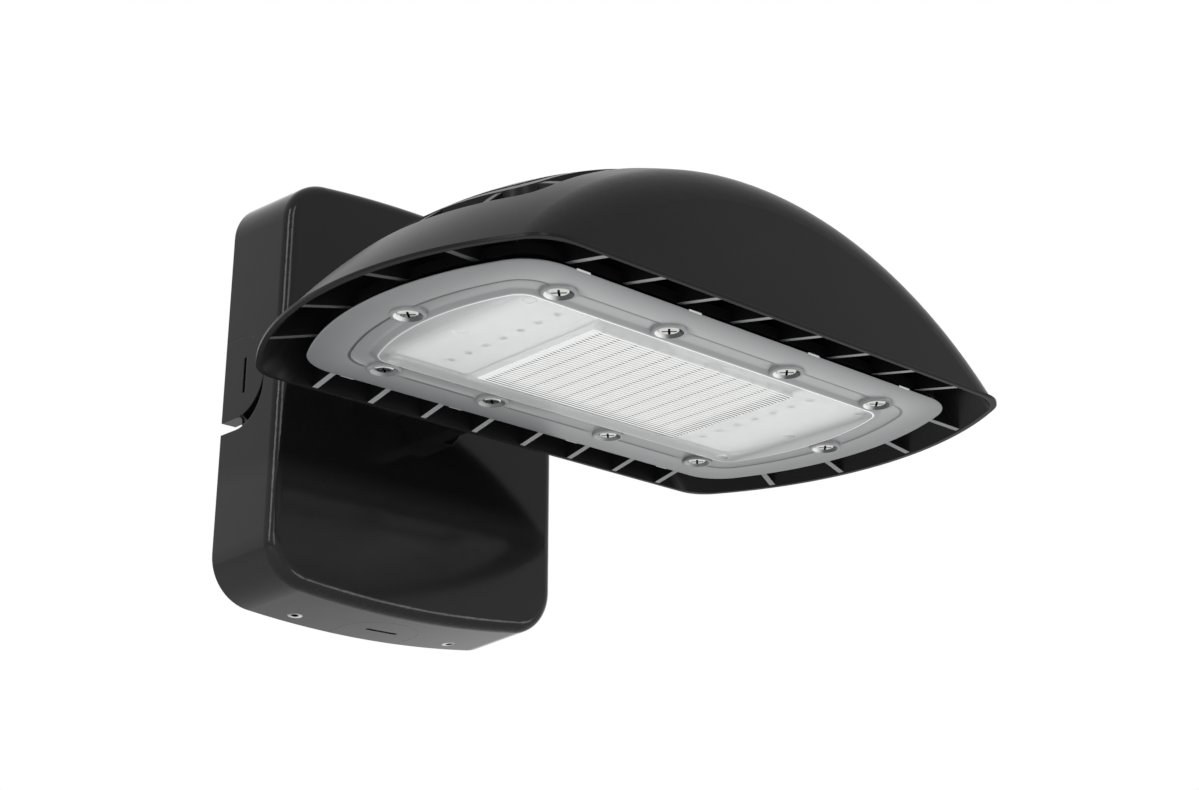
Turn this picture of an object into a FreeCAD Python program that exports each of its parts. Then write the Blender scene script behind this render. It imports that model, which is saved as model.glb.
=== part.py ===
import FreeCAD, Part
import math
import os

# Wall mounted floodlight: a wall box, a half-lap tilting knuckle and a domed lamp head.
# Millimetres. The wall is the plane Y = 0, the light stands out towards -Y, +Z is up and
# the origin is the middle of the wall plate on the wall.

# Wall box
BOX_WIDTH = 154.0
BOX_HEIGHT = 192.0
BOX_DEPTH = 40.5
BOX_DRAFT = 2.0
BOX_BOW = 6.0
BOX_CORNER = 21.0
BOX_EDGE = 5.0
BOX_INNER_EDGE = 2.0
BOX_WALL = 3.0

# Conduit plugs in the sides and the bottom of the box
PLUG_HALF = 18.35
PLUG_REACH = 29.0
PLUG_DEPTH = 7.0
PLUG_RISE = 3.8
PLUG_CLEARANCE = 0.12
NOTCH_SLACK = 5.25
PLUG_SLOT_LENGTH = 16.0
PLUG_SLOT_WIDTH = 2.0
PLUG_SLOT_DEPTH = 3.0
PLUG_SLOT_OUT = 14.8

# Wall plate and its gasket
PLATE_SIDE_GAP = 3.0
PLATE_END_GAP = 12.0
PLATE_CORNER = 14.0
PLATE_THICK = 2.5
GASKET_THICK = 2.0
GASKET_OPENING = 70.0
BOLT_SPACING_X = 100.0
BOLT_SPACING_Z = 130.0
BOLT_HOLE_RADIUS = 3.3
OUTLET_SPACING = 89.0
OUTLET_SLOT_LENGTH = 12.0
OUTLET_SLOT_RADIUS = 2.5
WIRE_OPENING_RADIUS = 22.0
FLANGE_REACH = 16.0
GROUND_X = 30.0
GROUND_Z = 26.0
GROUND_RADIUS = 2.4
GROUND_FLATS = 8.0
GROUND_HEAD_HEIGHT = 3.0

# Box on plate
SLIDE_CLEARANCE = 0.3
REST_PAD_X = 30.0
REST_PAD_WIDTH = 14.0
REST_PAD_DEPTH = 10.0
GRUB_X = 41.0
GRUB_OUT = 9.5
GRUB_RADIUS = 3.2
GRUB_SOCKET = 3.0
GRUB_SOCKET_DEPTH = 4.0
GRUB_BOSS_WALL = 2.8
THREAD_CLEARANCE = 0.05

# Arm, the left half of the knuckle
ARM_HALF = 15.25
ARM_FLAT_HALF = 7.5
ARM_CHAMFER_RISE = 11.0
ARM_HALF_HEIGHT = 20.2
PIVOT_RISE = 2.0
PIVOT_REACH = 31.0
SHOULDER_REACH = 11.0
SPLIT_X = 1.0
TIP_GAP = 1.2
TIP_ANGLES = (56.0, 12.0, -16.0)
TIP_LOW_OUT = 2.0
TIP_TOP_BACK = 13.0
ARM_SCREW_X = 8.0
ARM_SCREW_Z = 12.0
ARM_SCREW_RADIUS = 2.5
ARM_SCREW_GRIP = 8.0
ARM_HEAD_RADIUS = 4.0
ARM_HEAD_HEIGHT = 4.0

# Pivot and wireway
PIVOT_RADIUS = 4.0
PIVOT_CLEARANCE = 0.05
PIVOT_FLATS = 13.0
PIVOT_HEAD_HEIGHT = 5.3
NUT_HEIGHT = 6.5
WASHER_RADIUS = 8.0
WASHER_THICK = 1.6
WIRE_BORE_RADIUS = 4.5
WIRE_RING_OUTER = 10.5
WIRE_RING_INNER = 6.2
WIRE_RING_DEPTH = 8.0
GROMMET_WALL = 1.5
GROMMET_LIP = 1.8
GROMMET_LIP_THICK = 1.5

# Tongue, the right half of the knuckle
SPLIT_GAP = 0.3
EYE_RADIUS = 13.0
TONGUE_REACH = 19.2
TONGUE_BASE_HALF = 25.0
TONGUE_BASE_HEIGHT = 27.0
TONGUE_BASE_THICK = 4.0
TONGUE_SCREW_X = 20.2
TONGUE_SCREW_Z = 8.0
TONGUE_SCREW_RADIUS = 2.5
TONGUE_SCREW_LENGTH = 16.0
TONGUE_HEAD_RADIUS = 4.2
TONGUE_HEAD_HEIGHT = 2.6
TONGUE_BOSS_MARGIN = 1.5

# Lamp head shell
HEAD_RADIUS = 144.6
HEAD_HALF = 85.3
DOME_RISE = 72.8
PANEL_DRAFT = 8.0
DOME_EDGE = 18.0
RIM_DROP = 27.0
SHELL = 1.6
LIP_HEIGHT = 1.2
LIP_CORNER = 16.0

# Vent ring, heat sink floor, chamber and fins
VENT_MARGIN = 25.3
OUTER_SLOT = 10.5
GRILLE_BAR = 4.5
INNER_SLOT = 4.5
GRILLE_DEPTH = 4.0
PLAN_CORNER = 12.0
FLOOR_THICK = 4.0
FLOOR_MARGIN = 21.4
CHAMBER_WALL = 3.0
FIN_THICK = 2.6
FIN_SPACING = 26.1
FIN_PAIRS = 4
FIN_SINK = 0.3
FIN_LIFT = 0.2
FIN_BITE = 1.0
END_FIN_ANGLES = (7.5, 21.3)
LEAD_HOLE_INSET = 9.0
LEAD_HOLE_RADIUS = 3.0

# Driver cap and driver
CAP_SEAL = 0.8
CAP_CLEARANCE = 0.2
POST_INSET = 14.3
POST_Y = 21.0
POST_RADIUS = 5.0
CAP_SCREW_RADIUS = 2.0
CAP_SCREW_LENGTH = 14.0
CAP_HEAD_RADIUS = 4.0
CAP_HEAD_HEIGHT = 2.2
DRIVER_POST_GAP = 2.0
DRIVER_WIDTH = 52.0
DRIVER_HEIGHT = 30.0
DRIVER_EDGE = 3.0
DRIVER_TAB = 9.0
DRIVER_TAB_WIDTH = 18.0
DRIVER_TAB_THICK = 2.0
DRIVER_SCREW_RADIUS = 2.0
DRIVER_HEAD_RADIUS = 4.0
DRIVER_HEAD_HEIGHT = 2.4

# Lens plate; heights are counted up from the rim
LENS_MARGIN = 17.9
LENS_CORNER = 20.0
LENS_EDGE_WIDTH = 5.0
LENS_EDGE_TOP = 1.6
LENS_TOP = 3.8
FLANGE_FACE = 0.8
CHANNEL_MARGIN = 33.4
CHANNEL_FACE = 1.6
WINDOW_FACE = 0.05
WINDOW_THICK = 2.0
WINDOW_WALL = 2.0
WINDOW_MARGIN = 43.0
WINDOW_CORNER = 8.0
WINDOW_SLOPE = 3.0
DIMPLE_X = 86.5
DIMPLE_Y = 38.5
DIMPLE_RADIUS = 2.6
DIMPLE_DEPTH = 0.8
TAB_HALF = 3.0
TAB_WIDTH = 2.6
TAB_OUT = 0.4
TAB_PROUD = 0.2
TAB_TOP = 5.4
LENS_SEAL_THICK = 0.8
LENS_SEAL_OUTER = 1.6
LENS_SEAL_WIDTH = 15.5

# Lens screws
SCREW_MARGIN = 35.3
ROW_SCREW_X = 30.9
ROW_END_INSET = 14.1
COLLAR_RADIUS = 6.5
COLLAR_FACE = -0.3
CUP_RADIUS = 5.5
CUP_DEPTH = 1.4
SEAT_RADIUS = 4.2
SEAT_LIFT = 2.9
LENS_SCREW_RADIUS = 2.0
LENS_HEAD_RADIUS = 4.0
LENS_HEAD_HEIGHT = 1.9
LENS_HEAD_EDGE = 0.7
CROSS_LENGTH = 5.6
CROSS_WIDTH = 1.1
CROSS_DEPTH = 1.0

# Optic and light board
OPTIC_LENGTH = 105.0
OPTIC_SIDE_GAP = 6.8
OPTIC_CLEARANCE = 0.2
OPTIC_LEDGE = 2.5
OPTIC_LEDGE_THICK = 0.6
RAIL_BITE = 2.0
BOARD_MARGIN = 1.7
BOARD_THICK = 1.4
BOARD_CORNER = 6.0
CHIP_SIZE = 3.5
CHIP_HEIGHT = 0.5
CHIP_ROWS = 7
CHIP_EDGE = 3.5
CHIP_COLUMNS = 12
CHIP_PITCH_X = 8.6
CHIP_END_GAP = 14.0
BOARD_SCREW_GAP = 7.5
BOARD_SCREW_INSET = 5.6
BOARD_SCREW_MARGIN = 4.0
BOARD_SCREW_RADIUS = 1.5
BOARD_HEAD_RADIUS = 2.75
BOARD_SCREW_GRIP = 3.0

# Places that follow from the sizes
OVER = 1.0
NEAR = 0.01
PLATE_WIDTH = BOX_WIDTH - 2 * (PLUG_DEPTH + PLATE_SIDE_GAP)
PLATE_HEIGHT = BOX_HEIGHT - 2 * PLATE_END_GAP
PLATE_BACK_Y = -GASKET_THICK
PLATE_FRONT_Y = PLATE_BACK_Y - PLATE_THICK
BOX_FRONT_Y = -BOX_DEPTH
BOX_INSIDE_Y = BOX_FRONT_Y + BOX_WALL
GRUB_TIP_Z = -PLATE_HEIGHT / 2 - SLIDE_CLEARANCE
PIVOT_Y = BOX_FRONT_Y - PIVOT_REACH
PIVOT_Z = PIVOT_RISE
ARM_TOP_Z = PIVOT_Z + ARM_HALF_HEIGHT
ARM_LOW_Z = PIVOT_Z - ARM_HALF_HEIGHT
SHOULDER_Y = BOX_FRONT_Y - SHOULDER_REACH
TIP_RADIUS = TONGUE_REACH - TONGUE_BASE_THICK - TIP_GAP
GROMMET_HOLE_RADIUS = WIRE_BORE_RADIUS + GROMMET_WALL
TONGUE_X = SPLIT_X + SPLIT_GAP
ARM_WIRE_X = SPLIT_X - GROMMET_HOLE_RADIUS
TONGUE_WIRE_X = TONGUE_X + GROMMET_HOLE_RADIUS
WIRE_RING_MIDDLE = (WIRE_RING_INNER + WIRE_RING_OUTER) / 2
HEAD_REAR_Y = PIVOT_Y - TONGUE_REACH
HEAD_Y = HEAD_REAR_Y - HEAD_HALF
RIM_Z = -RIM_DROP
HEAD_TOP_Z = RIM_Z + DOME_RISE
DOME_RADIUS = (HEAD_RADIUS ** 2 + DOME_RISE ** 2) / (2 * DOME_RISE)
DOME_CENTRE_Z = HEAD_TOP_Z - DOME_RADIUS
LENS_TOP_Z = RIM_Z + LENS_TOP
FLOOR_Z = LENS_TOP_Z + LENS_SEAL_THICK
FLOOR_TOP_Z = FLOOR_Z + FLOOR_THICK
BAR_MARGIN = VENT_MARGIN + OUTER_SLOT
CHAMBER_MARGIN = BAR_MARGIN + GRILLE_BAR + INNER_SLOT
CHAMBER_HALF = HEAD_HALF - CHAMBER_MARGIN
CHAMBER_INSIDE_RADIUS = HEAD_RADIUS - CHAMBER_MARGIN - CHAMBER_WALL
LEAD_HOLE_X = CHAMBER_INSIDE_RADIUS - LEAD_HOLE_INSET
POST_X = math.sqrt((CHAMBER_INSIDE_RADIUS - POST_INSET) ** 2 - POST_Y ** 2)
DRIVER_LENGTH = 2 * (POST_X - POST_RADIUS - DRIVER_POST_GAP - DRIVER_TAB)
ROW_Y = HEAD_HALF - SCREW_MARGIN
ROW_END_X = math.sqrt((HEAD_RADIUS - SCREW_MARGIN) ** 2 - ROW_Y ** 2) - ROW_END_INSET
WINDOW_INSIDE_MARGIN = WINDOW_MARGIN + WINDOW_WALL
WINDOW_INSIDE_HALF = HEAD_HALF - WINDOW_INSIDE_MARGIN
WINDOW_BACK_Z = RIM_Z + WINDOW_FACE + WINDOW_THICK
OPTIC_WIDTH = 2 * (WINDOW_INSIDE_HALF - OPTIC_SIDE_GAP)
CHIP_PITCH_Y = (OPTIC_WIDTH - 2 * CHIP_EDGE) / (CHIP_ROWS - 1)
BOARD_OUTLINE_MARGIN = WINDOW_INSIDE_MARGIN + BOARD_MARGIN
BOARD_SCREW_Y = HEAD_HALF - BOARD_OUTLINE_MARGIN - BOARD_SCREW_MARGIN
BOARD_END_X = math.sqrt((HEAD_RADIUS - BOARD_OUTLINE_MARGIN) ** 2 - BOARD_SCREW_Y ** 2)
BOARD_BACK_Z = FLOOR_Z - BOARD_THICK

os.makedirs("parts", exist_ok=True)


def vec(x, y, z):
    return FreeCAD.Vector(x, y, z)


RIGHT = vec(1, 0, 0)
OUT = vec(0, -1, 0)
UP = vec(0, 0, 1)


def block(x_range, y_range, z_range):
    """A box between two corners, its ranges in any order."""
    x0, x1 = sorted(x_range)
    y0, y1 = sorted(y_range)
    z0, z1 = sorted(z_range)
    return Part.makeBox(x1 - x0, y1 - y0, z1 - z0, vec(x0, y0, z0))


def rod(radius, start, way, length):
    """A cylinder from a start point along a direction."""
    return Part.makeCylinder(radius, length, start, way)


def prism(points, way):
    """A closed polygon pushed along a vector."""
    return Part.Face(Part.makePolygon(points + points[:1])).extrude(way)


def hexagon(flats, start, way, length, across):
    """A hexagonal bar; across is a direction square to way."""
    side = way.cross(across)
    radius = flats / math.sqrt(3)
    points = []
    for i in range(6):
        angle = i * math.pi / 3
        points.append(start + across * (radius * math.cos(angle)) + side * (radius * math.sin(angle)))
    return prism(points, way * length)


def join(shapes):
    """One solid from overlapping ones."""
    return shapes[0].multiFuse(shapes[1:]).removeSplitter()


def mirrored(values):
    """Each value to the left and to the right."""
    return [side * value for value in values for side in (-1, 1)]


def headed_pin(start, way, head, shank):
    """A screw: head is (radius, height) against the way, shank is (radius, length) along it."""
    return join([rod(head[0], start, way * -1, head[1]), rod(shank[0], start, way, shank[1])])


def edges_where(shape, test):
    """Edges on which every sampled point passes the test."""
    found = []
    for edge in shape.Edges:
        if edge.Length > NEAR and all(test(point) for point in edge.discretize(5)):
            found.append(edge)
    return found


def save(name, shapes):
    """Writes a node: one solid, or a group of like ones."""
    shape = Part.makeCompound(shapes) if isinstance(shapes, list) else shapes
    shape.exportStep("parts/" + name + ".step")
    state = "valid" if shape.isValid() else "NOT VALID"
    print(name, len(shape.Solids), round(shape.Volume / 1000, 2), "cm3", state)


# The wall box: a drafted shell with bowed top and bottom and a rounded front edge

def box_half_width(y, inset):
    return BOX_WIDTH / 2 + BOX_DRAFT * y / BOX_DEPTH - inset


def box_outline(y, inset):
    """Straight sides between bowed ends, at a distance -y from the wall."""
    half_x = box_half_width(y, inset)
    half_z = BOX_HEIGHT / 2 + BOX_DRAFT * y / BOX_DEPTH - inset
    corner_z = half_z - BOX_BOW
    low_left = vec(-half_x, y, -corner_z)
    low_right = vec(half_x, y, -corner_z)
    top_left = vec(-half_x, y, corner_z)
    top_right = vec(half_x, y, corner_z)
    return Part.Wire([
        Part.makeLine(low_left, top_left),
        Part.Arc(top_left, vec(0, y, half_z), top_right).toShape(),
        Part.makeLine(top_right, low_right),
        Part.Arc(low_right, vec(0, y, -half_z), low_left).toShape(),
    ])


def box_body(inset, back_y, edge_radius):
    """The box filled solid, drawn in by inset on every face but the back."""
    front_y = BOX_FRONT_Y + inset
    body = Part.makeLoft([box_outline(back_y, inset), box_outline(front_y, inset)], True, True)
    sides = edges_where(body, lambda p: abs(abs(p.x) - box_half_width(p.y, inset)) < NEAR)
    corners = [edge for edge in sides if edge.BoundBox.YLength > BOX_DEPTH / 2]
    body = body.makeFillet(BOX_CORNER - inset, corners)
    front = edges_where(body, lambda p: abs(p.y - front_y) < NEAR)
    return body.makeFillet(edge_radius, front)


BOX_SOLID = box_body(0, 0, BOX_EDGE)


def plug_shape(half, reach, low, high, place, way):
    """A D shape, flat at the wall and round in front, stretched from low to high.

    place(along, out) gives a point of the outline in space.
    """
    straight = reach - half
    slant = half * math.sqrt(0.5)
    edges = [
        Part.makeLine(place(low - half, 0), place(low - half, straight)),
        Part.Arc(place(low - half, straight), place(low - slant, straight + slant),
                 place(low, reach)).toShape(),
    ]
    if high > low:
        edges.append(Part.makeLine(place(low, reach), place(high, reach)))
    edges += [
        Part.Arc(place(high, reach), place(high + slant, straight + slant),
                 place(high + half, straight)).toShape(),
        Part.makeLine(place(high + half, straight), place(high + half, 0)),
        Part.makeLine(place(high + half, 0), place(low - half, 0)),
    ]
    return Part.Face(Part.Wire(edges)).extrude(way)


def side_plug_shape(side, half, reach, slack):
    face_x = side * (BOX_WIDTH / 2 + OVER)
    return plug_shape(half, reach, PLUG_RISE - slack, PLUG_RISE, lambda along, out: vec(face_x, -out, along),
                      RIGHT * (-side * (PLUG_DEPTH + OVER)))


def bottom_plug_shape(half, reach):
    face_z = -BOX_HEIGHT / 2 - OVER
    return plug_shape(half, reach, 0, 0, lambda along, out: vec(along, -out, face_z),
                      UP * (PLUG_DEPTH + OVER))


def arm_screw_places():
    return [(x, PIVOT_Z + z) for x in (-ARM_SCREW_X, ARM_SCREW_X) for z in (-ARM_SCREW_Z, ARM_SCREW_Z)]


def grub_places():
    return [vec(x, -GRUB_OUT, -BOX_HEIGHT / 2 - OVER) for x in (-GRUB_X, GRUB_X)]


def make_wall_box():
    shapes = [BOX_SOLID.cut(box_body(BOX_WALL, OVER, BOX_INNER_EDGE))]
    pad_front_y = PLATE_FRONT_Y - REST_PAD_DEPTH
    for x in (-REST_PAD_X, REST_PAD_X):
        pad = block((x - REST_PAD_WIDTH / 2, x + REST_PAD_WIDTH / 2), (pad_front_y, PLATE_FRONT_Y),
                    (PLATE_HEIGHT / 2 + SLIDE_CLEARANCE, BOX_HEIGHT / 2))
        shapes.append(pad.common(BOX_SOLID))
    for foot in grub_places():
        boss = rod(GRUB_RADIUS + GRUB_BOSS_WALL, foot, UP, GRUB_TIP_Z - SLIDE_CLEARANCE - foot.z)
        shapes.append(boss.common(BOX_SOLID))
    cuts = [bottom_plug_shape(PLUG_HALF, PLUG_REACH)]
    cuts += [side_plug_shape(side, PLUG_HALF, PLUG_REACH, NOTCH_SLACK) for side in (-1, 1)]
    cuts += [rod(GRUB_RADIUS + THREAD_CLEARANCE, foot, UP, GRUB_TIP_Z - foot.z) for foot in grub_places()]
    through = BOX_WALL + 2 * OVER
    cuts += [rod(ARM_SCREW_RADIUS + THREAD_CLEARANCE, vec(x, BOX_INSIDE_Y + OVER, z), OUT, through)
             for x, z in arm_screw_places()]
    cuts.append(rod(GROMMET_HOLE_RADIUS, vec(ARM_WIRE_X, BOX_INSIDE_Y + OVER, PIVOT_Z), OUT, through))
    return join(shapes).cut(cuts)


def make_side_plug(side):
    plug = side_plug_shape(side, PLUG_HALF - PLUG_CLEARANCE, PLUG_REACH - PLUG_CLEARANCE, 0).common(BOX_SOLID)
    face_x = side * BOX_WIDTH / 2
    slot = block((face_x + side * OVER, face_x - side * PLUG_SLOT_DEPTH),
                 (-PLUG_SLOT_OUT - PLUG_SLOT_WIDTH / 2, -PLUG_SLOT_OUT + PLUG_SLOT_WIDTH / 2),
                 (PLUG_RISE - PLUG_SLOT_LENGTH / 2, PLUG_RISE + PLUG_SLOT_LENGTH / 2))
    return plug.cut(slot)


def make_bottom_plug():
    plug = bottom_plug_shape(PLUG_HALF - PLUG_CLEARANCE, PLUG_REACH - PLUG_CLEARANCE).common(BOX_SOLID)
    face_z = -BOX_HEIGHT / 2
    slot = block((-PLUG_SLOT_LENGTH / 2, PLUG_SLOT_LENGTH / 2),
                 (-PLUG_SLOT_OUT - PLUG_SLOT_WIDTH / 2, -PLUG_SLOT_OUT + PLUG_SLOT_WIDTH / 2),
                 (face_z - OVER, face_z + PLUG_SLOT_DEPTH))
    return plug.cut(slot)


def make_grub_screws():
    """Two socket set screws, flush with the box's bottom, that lock it under the plate's lower flange."""
    screws = []
    for foot in grub_places():
        body = rod(GRUB_RADIUS, foot, UP, GRUB_TIP_Z - foot.z).common(BOX_SOLID)
        low = vec(foot.x, foot.y, body.BoundBox.ZMin)
        screws.append(body.cut(hexagon(GRUB_SOCKET, low, UP, GRUB_SOCKET_DEPTH, RIGHT)))
    return screws


# The wall plate: pressed steel with a flange along its top and its bottom

def rounded_plate(width, height, corner, back_y, thick):
    plate = block((-width / 2, width / 2), (back_y - thick, back_y), (-height / 2, height / 2))
    corners = edges_where(plate, lambda p: abs(p.x) > width / 2 - NEAR and abs(p.z) > height / 2 - NEAR)
    return plate.makeFillet(corner, corners)


def plate_holes():
    """Wall bolt holes and level outlet box slots, right through plate and gasket."""
    deep = GASKET_THICK + PLATE_THICK + 2 * OVER
    bolts = [rod(BOLT_HOLE_RADIUS, vec(x, OVER, z), OUT, deep)
             for x in (-BOLT_SPACING_X / 2, BOLT_SPACING_X / 2)
             for z in (-BOLT_SPACING_Z / 2, BOLT_SPACING_Z / 2)]
    travel = OUTLET_SLOT_LENGTH / 2 - OUTLET_SLOT_RADIUS
    slots = []
    for x in (-OUTLET_SPACING / 2, OUTLET_SPACING / 2):
        ends = [rod(OUTLET_SLOT_RADIUS, vec(x + way * travel, OVER, 0), OUT, deep) for way in (-1, 1)]
        middle = block((x - travel, x + travel), (OVER - deep, OVER),
                       (-OUTLET_SLOT_RADIUS, OUTLET_SLOT_RADIUS))
        slots.append(join(ends + [middle]))
    return bolts + slots


def make_wall_gasket():
    gasket = rounded_plate(PLATE_WIDTH, PLATE_HEIGHT, PLATE_CORNER, 0, GASKET_THICK)
    opening = rounded_plate(GASKET_OPENING, GASKET_OPENING, PLATE_CORNER, OVER, GASKET_THICK + 2 * OVER)
    return gasket.cut(plate_holes() + [opening])


def make_wall_plate():
    plate = rounded_plate(PLATE_WIDTH, PLATE_HEIGHT, PLATE_CORNER, PLATE_BACK_Y, PLATE_THICK)
    flange_half = PLATE_WIDTH / 2 - PLATE_CORNER
    flanges = [block((-flange_half, flange_half), (PLATE_FRONT_Y - FLANGE_REACH, PLATE_BACK_Y),
                     (side * PLATE_HEIGHT / 2, side * (PLATE_HEIGHT / 2 - PLATE_THICK))) for side in (-1, 1)]
    deep = PLATE_THICK + 2 * OVER
    wires = rod(WIRE_OPENING_RADIUS, vec(0, PLATE_BACK_Y + OVER, 0), OUT, deep)
    ground = rod(GROUND_RADIUS + THREAD_CLEARANCE, vec(GROUND_X, PLATE_BACK_Y + OVER, GROUND_Z), OUT, deep)
    return join([plate] + flanges).cut(plate_holes() + [wires, ground])


def make_ground_screw():
    shank = rod(GROUND_RADIUS, vec(GROUND_X, PLATE_BACK_Y, GROUND_Z), OUT, PLATE_THICK)
    head = hexagon(GROUND_FLATS, vec(GROUND_X, PLATE_FRONT_Y, GROUND_Z), OUT, GROUND_HEAD_HEIGHT, RIGHT)
    return join([shank, head])


# The knuckle: the arm is the left half of a half-lap, the tongue is its right half

def arm_section():
    """Eight-sided section of the arm where it meets the box."""
    low = ARM_LOW_Z + ARM_CHAMFER_RISE
    high = ARM_TOP_Z - ARM_CHAMFER_RISE
    right = [(ARM_FLAT_HALF, ARM_LOW_Z), (ARM_HALF, low), (ARM_HALF, high), (ARM_FLAT_HALF, ARM_TOP_Z)]
    left = [(-x, z) for x, z in reversed(right)]
    return [vec(x, BOX_FRONT_Y, z) for x, z in right + left]


def arm_side_view():
    """The arm from the side: its tip is drawn in from the swing of the head."""
    tip = []
    for degrees in TIP_ANGLES:
        angle = math.radians(degrees)
        tip.append((PIVOT_Y - TIP_RADIUS * math.cos(angle), PIVOT_Z + TIP_RADIUS * math.sin(angle)))
    pairs = [(BOX_FRONT_Y, ARM_LOW_Z), (BOX_FRONT_Y, ARM_TOP_Z), (PIVOT_Y + TIP_TOP_BACK, ARM_TOP_Z)]
    pairs += tip + [(PIVOT_Y - TIP_LOW_OUT, ARM_LOW_Z)]
    return [vec(-ARM_HALF - OVER, y, z) for y, z in pairs]


def wire_ring(face_x, side):
    """Ring-shaped wireway round the pivot, sunk into a lap face."""
    start = vec(face_x, PIVOT_Y, PIVOT_Z)
    outer = rod(WIRE_RING_OUTER, start, RIGHT * side, WIRE_RING_DEPTH)
    return outer.cut(rod(WIRE_RING_INNER, start, RIGHT * side, WIRE_RING_DEPTH))


def pivot_hole():
    start = vec(-ARM_HALF - OVER, PIVOT_Y, PIVOT_Z)
    return rod(PIVOT_RADIUS + PIVOT_CLEARANCE, start, RIGHT, 2 * (ARM_HALF + OVER))


def make_arm():
    bar = prism(arm_section(), OUT * (PIVOT_REACH + TIP_RADIUS + OVER))
    side_view = prism(arm_side_view(), RIGHT * 2 * (ARM_HALF + OVER))
    lap = block((SPLIT_X, ARM_HALF + OVER), (PIVOT_Y - TIP_RADIUS - OVER, SHOULDER_Y),
                (ARM_LOW_Z - OVER, ARM_TOP_Z + OVER))
    cuts = [lap, pivot_hole(), wire_ring(SPLIT_X, -1)]
    cuts.append(rod(WIRE_BORE_RADIUS, vec(ARM_WIRE_X, BOX_FRONT_Y + OVER, PIVOT_Z), OUT,
                    PIVOT_REACH - WIRE_RING_MIDDLE + OVER))
    cuts += [rod(ARM_SCREW_RADIUS + THREAD_CLEARANCE, vec(x, BOX_FRONT_Y + OVER, z), OUT,
                 ARM_SCREW_GRIP + 2 * OVER) for x, z in arm_screw_places()]
    return bar.common(side_view).cut(cuts)


def make_arm_screws():
    """Cap screws from inside the box into the foot of the arm."""
    return [headed_pin(vec(x, BOX_INSIDE_Y, z), OUT, (ARM_HEAD_RADIUS, ARM_HEAD_HEIGHT),
                       (ARM_SCREW_RADIUS, BOX_WALL + ARM_SCREW_GRIP)) for x, z in arm_screw_places()]


def make_pivot_bolt():
    start = vec(-ARM_HALF - WASHER_THICK, PIVOT_Y, PIVOT_Z)
    shank = rod(PIVOT_RADIUS, start, RIGHT, 2 * (ARM_HALF + WASHER_THICK) + NUT_HEIGHT)
    return join([shank, hexagon(PIVOT_FLATS, start, RIGHT * -1, PIVOT_HEAD_HEIGHT, UP)])


def make_pivot_nut():
    start = vec(ARM_HALF + WASHER_THICK, PIVOT_Y, PIVOT_Z)
    hole = rod(PIVOT_RADIUS + THREAD_CLEARANCE, start, RIGHT, NUT_HEIGHT)
    return hexagon(PIVOT_FLATS, start, RIGHT, NUT_HEIGHT, UP).cut(hole)


def make_pivot_washers():
    washers = []
    for x in (-ARM_HALF - WASHER_THICK, ARM_HALF):
        start = vec(x, PIVOT_Y, PIVOT_Z)
        hole = rod(PIVOT_RADIUS + THREAD_CLEARANCE, start, RIGHT, WASHER_THICK)
        washers.append(rod(WASHER_RADIUS, start, RIGHT, WASHER_THICK).cut(hole))
    return washers


def tongue_screws(grow, proud):
    """Countersunk screws through the tongue's flange; as cutters they are grown and stand proud."""
    face_y = HEAD_REAR_Y + TONGUE_BASE_THICK
    seat_y = face_y - TONGUE_HEAD_HEIGHT
    head = (TONGUE_HEAD_RADIUS + grow, TONGUE_HEAD_HEIGHT + proud)
    shank = (TONGUE_SCREW_RADIUS + grow, TONGUE_SCREW_LENGTH + proud)
    return [headed_pin(vec(x, seat_y, PIVOT_Z + z), OUT, head, shank)
            for x in (-TONGUE_SCREW_X, TONGUE_SCREW_X) for z in (-TONGUE_SCREW_Z, TONGUE_SCREW_Z)]


def make_tongue():
    """The head's half of the lap: an eye on the pivot and a flange on the rear panel."""
    eye = rod(EYE_RADIUS, vec(TONGUE_X, PIVOT_Y, PIVOT_Z), RIGHT, ARM_HALF - TONGUE_X)
    neck = block((TONGUE_X, ARM_HALF), (HEAD_REAR_Y, PIVOT_Y), (PIVOT_Z - EYE_RADIUS, PIVOT_Z + EYE_RADIUS))
    flange = block((-TONGUE_BASE_HALF, TONGUE_BASE_HALF), (HEAD_REAR_Y, HEAD_REAR_Y + TONGUE_BASE_THICK),
                   (PIVOT_Z - TONGUE_BASE_HEIGHT / 2, PIVOT_Z + TONGUE_BASE_HEIGHT / 2))
    wires = rod(WIRE_BORE_RADIUS, vec(TONGUE_WIRE_X, HEAD_REAR_Y - OVER, PIVOT_Z), OUT * -1,
                TONGUE_REACH - WIRE_RING_MIDDLE + OVER)
    return join([eye, neck, flange]).cut([pivot_hole(), wire_ring(TONGUE_X, 1), wires]
                                         + tongue_screws(THREAD_CLEARANCE, OVER))


def grommet(centre, way, wall):
    """Rubber bush in a wall; centre is on the wall's near face and the lip stands before it."""
    back = centre - way * GROMMET_LIP_THICK
    sleeve = rod(GROMMET_HOLE_RADIUS - THREAD_CLEARANCE, centre, way, wall)
    lip = rod(GROMMET_HOLE_RADIUS + GROMMET_LIP, back, way, GROMMET_LIP_THICK)
    return join([sleeve, lip]).cut(rod(WIRE_BORE_RADIUS, back, way, wall + GROMMET_LIP_THICK))


# The lamp head: a spherical cap between flat front and rear panels

def plan_prism(margin, corner, z0, z1):
    """The head's plan drawn in by a margin: a disc between two flats, with rounded corners."""
    radius = HEAD_RADIUS - margin
    half = HEAD_HALF - margin
    disc = rod(radius, vec(0, HEAD_Y, z0), UP, z1 - z0)
    body = disc.common(block((-radius, radius), (HEAD_Y - half, HEAD_Y + half), (z0, z1)))
    uprights = [edge for edge in edges_where(body, lambda p: abs(abs(p.y - HEAD_Y) - half) < NEAR)
                if edge.BoundBox.ZLength > (z1 - z0) / 2]
    return body.makeFillet(corner, uprights)


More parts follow.
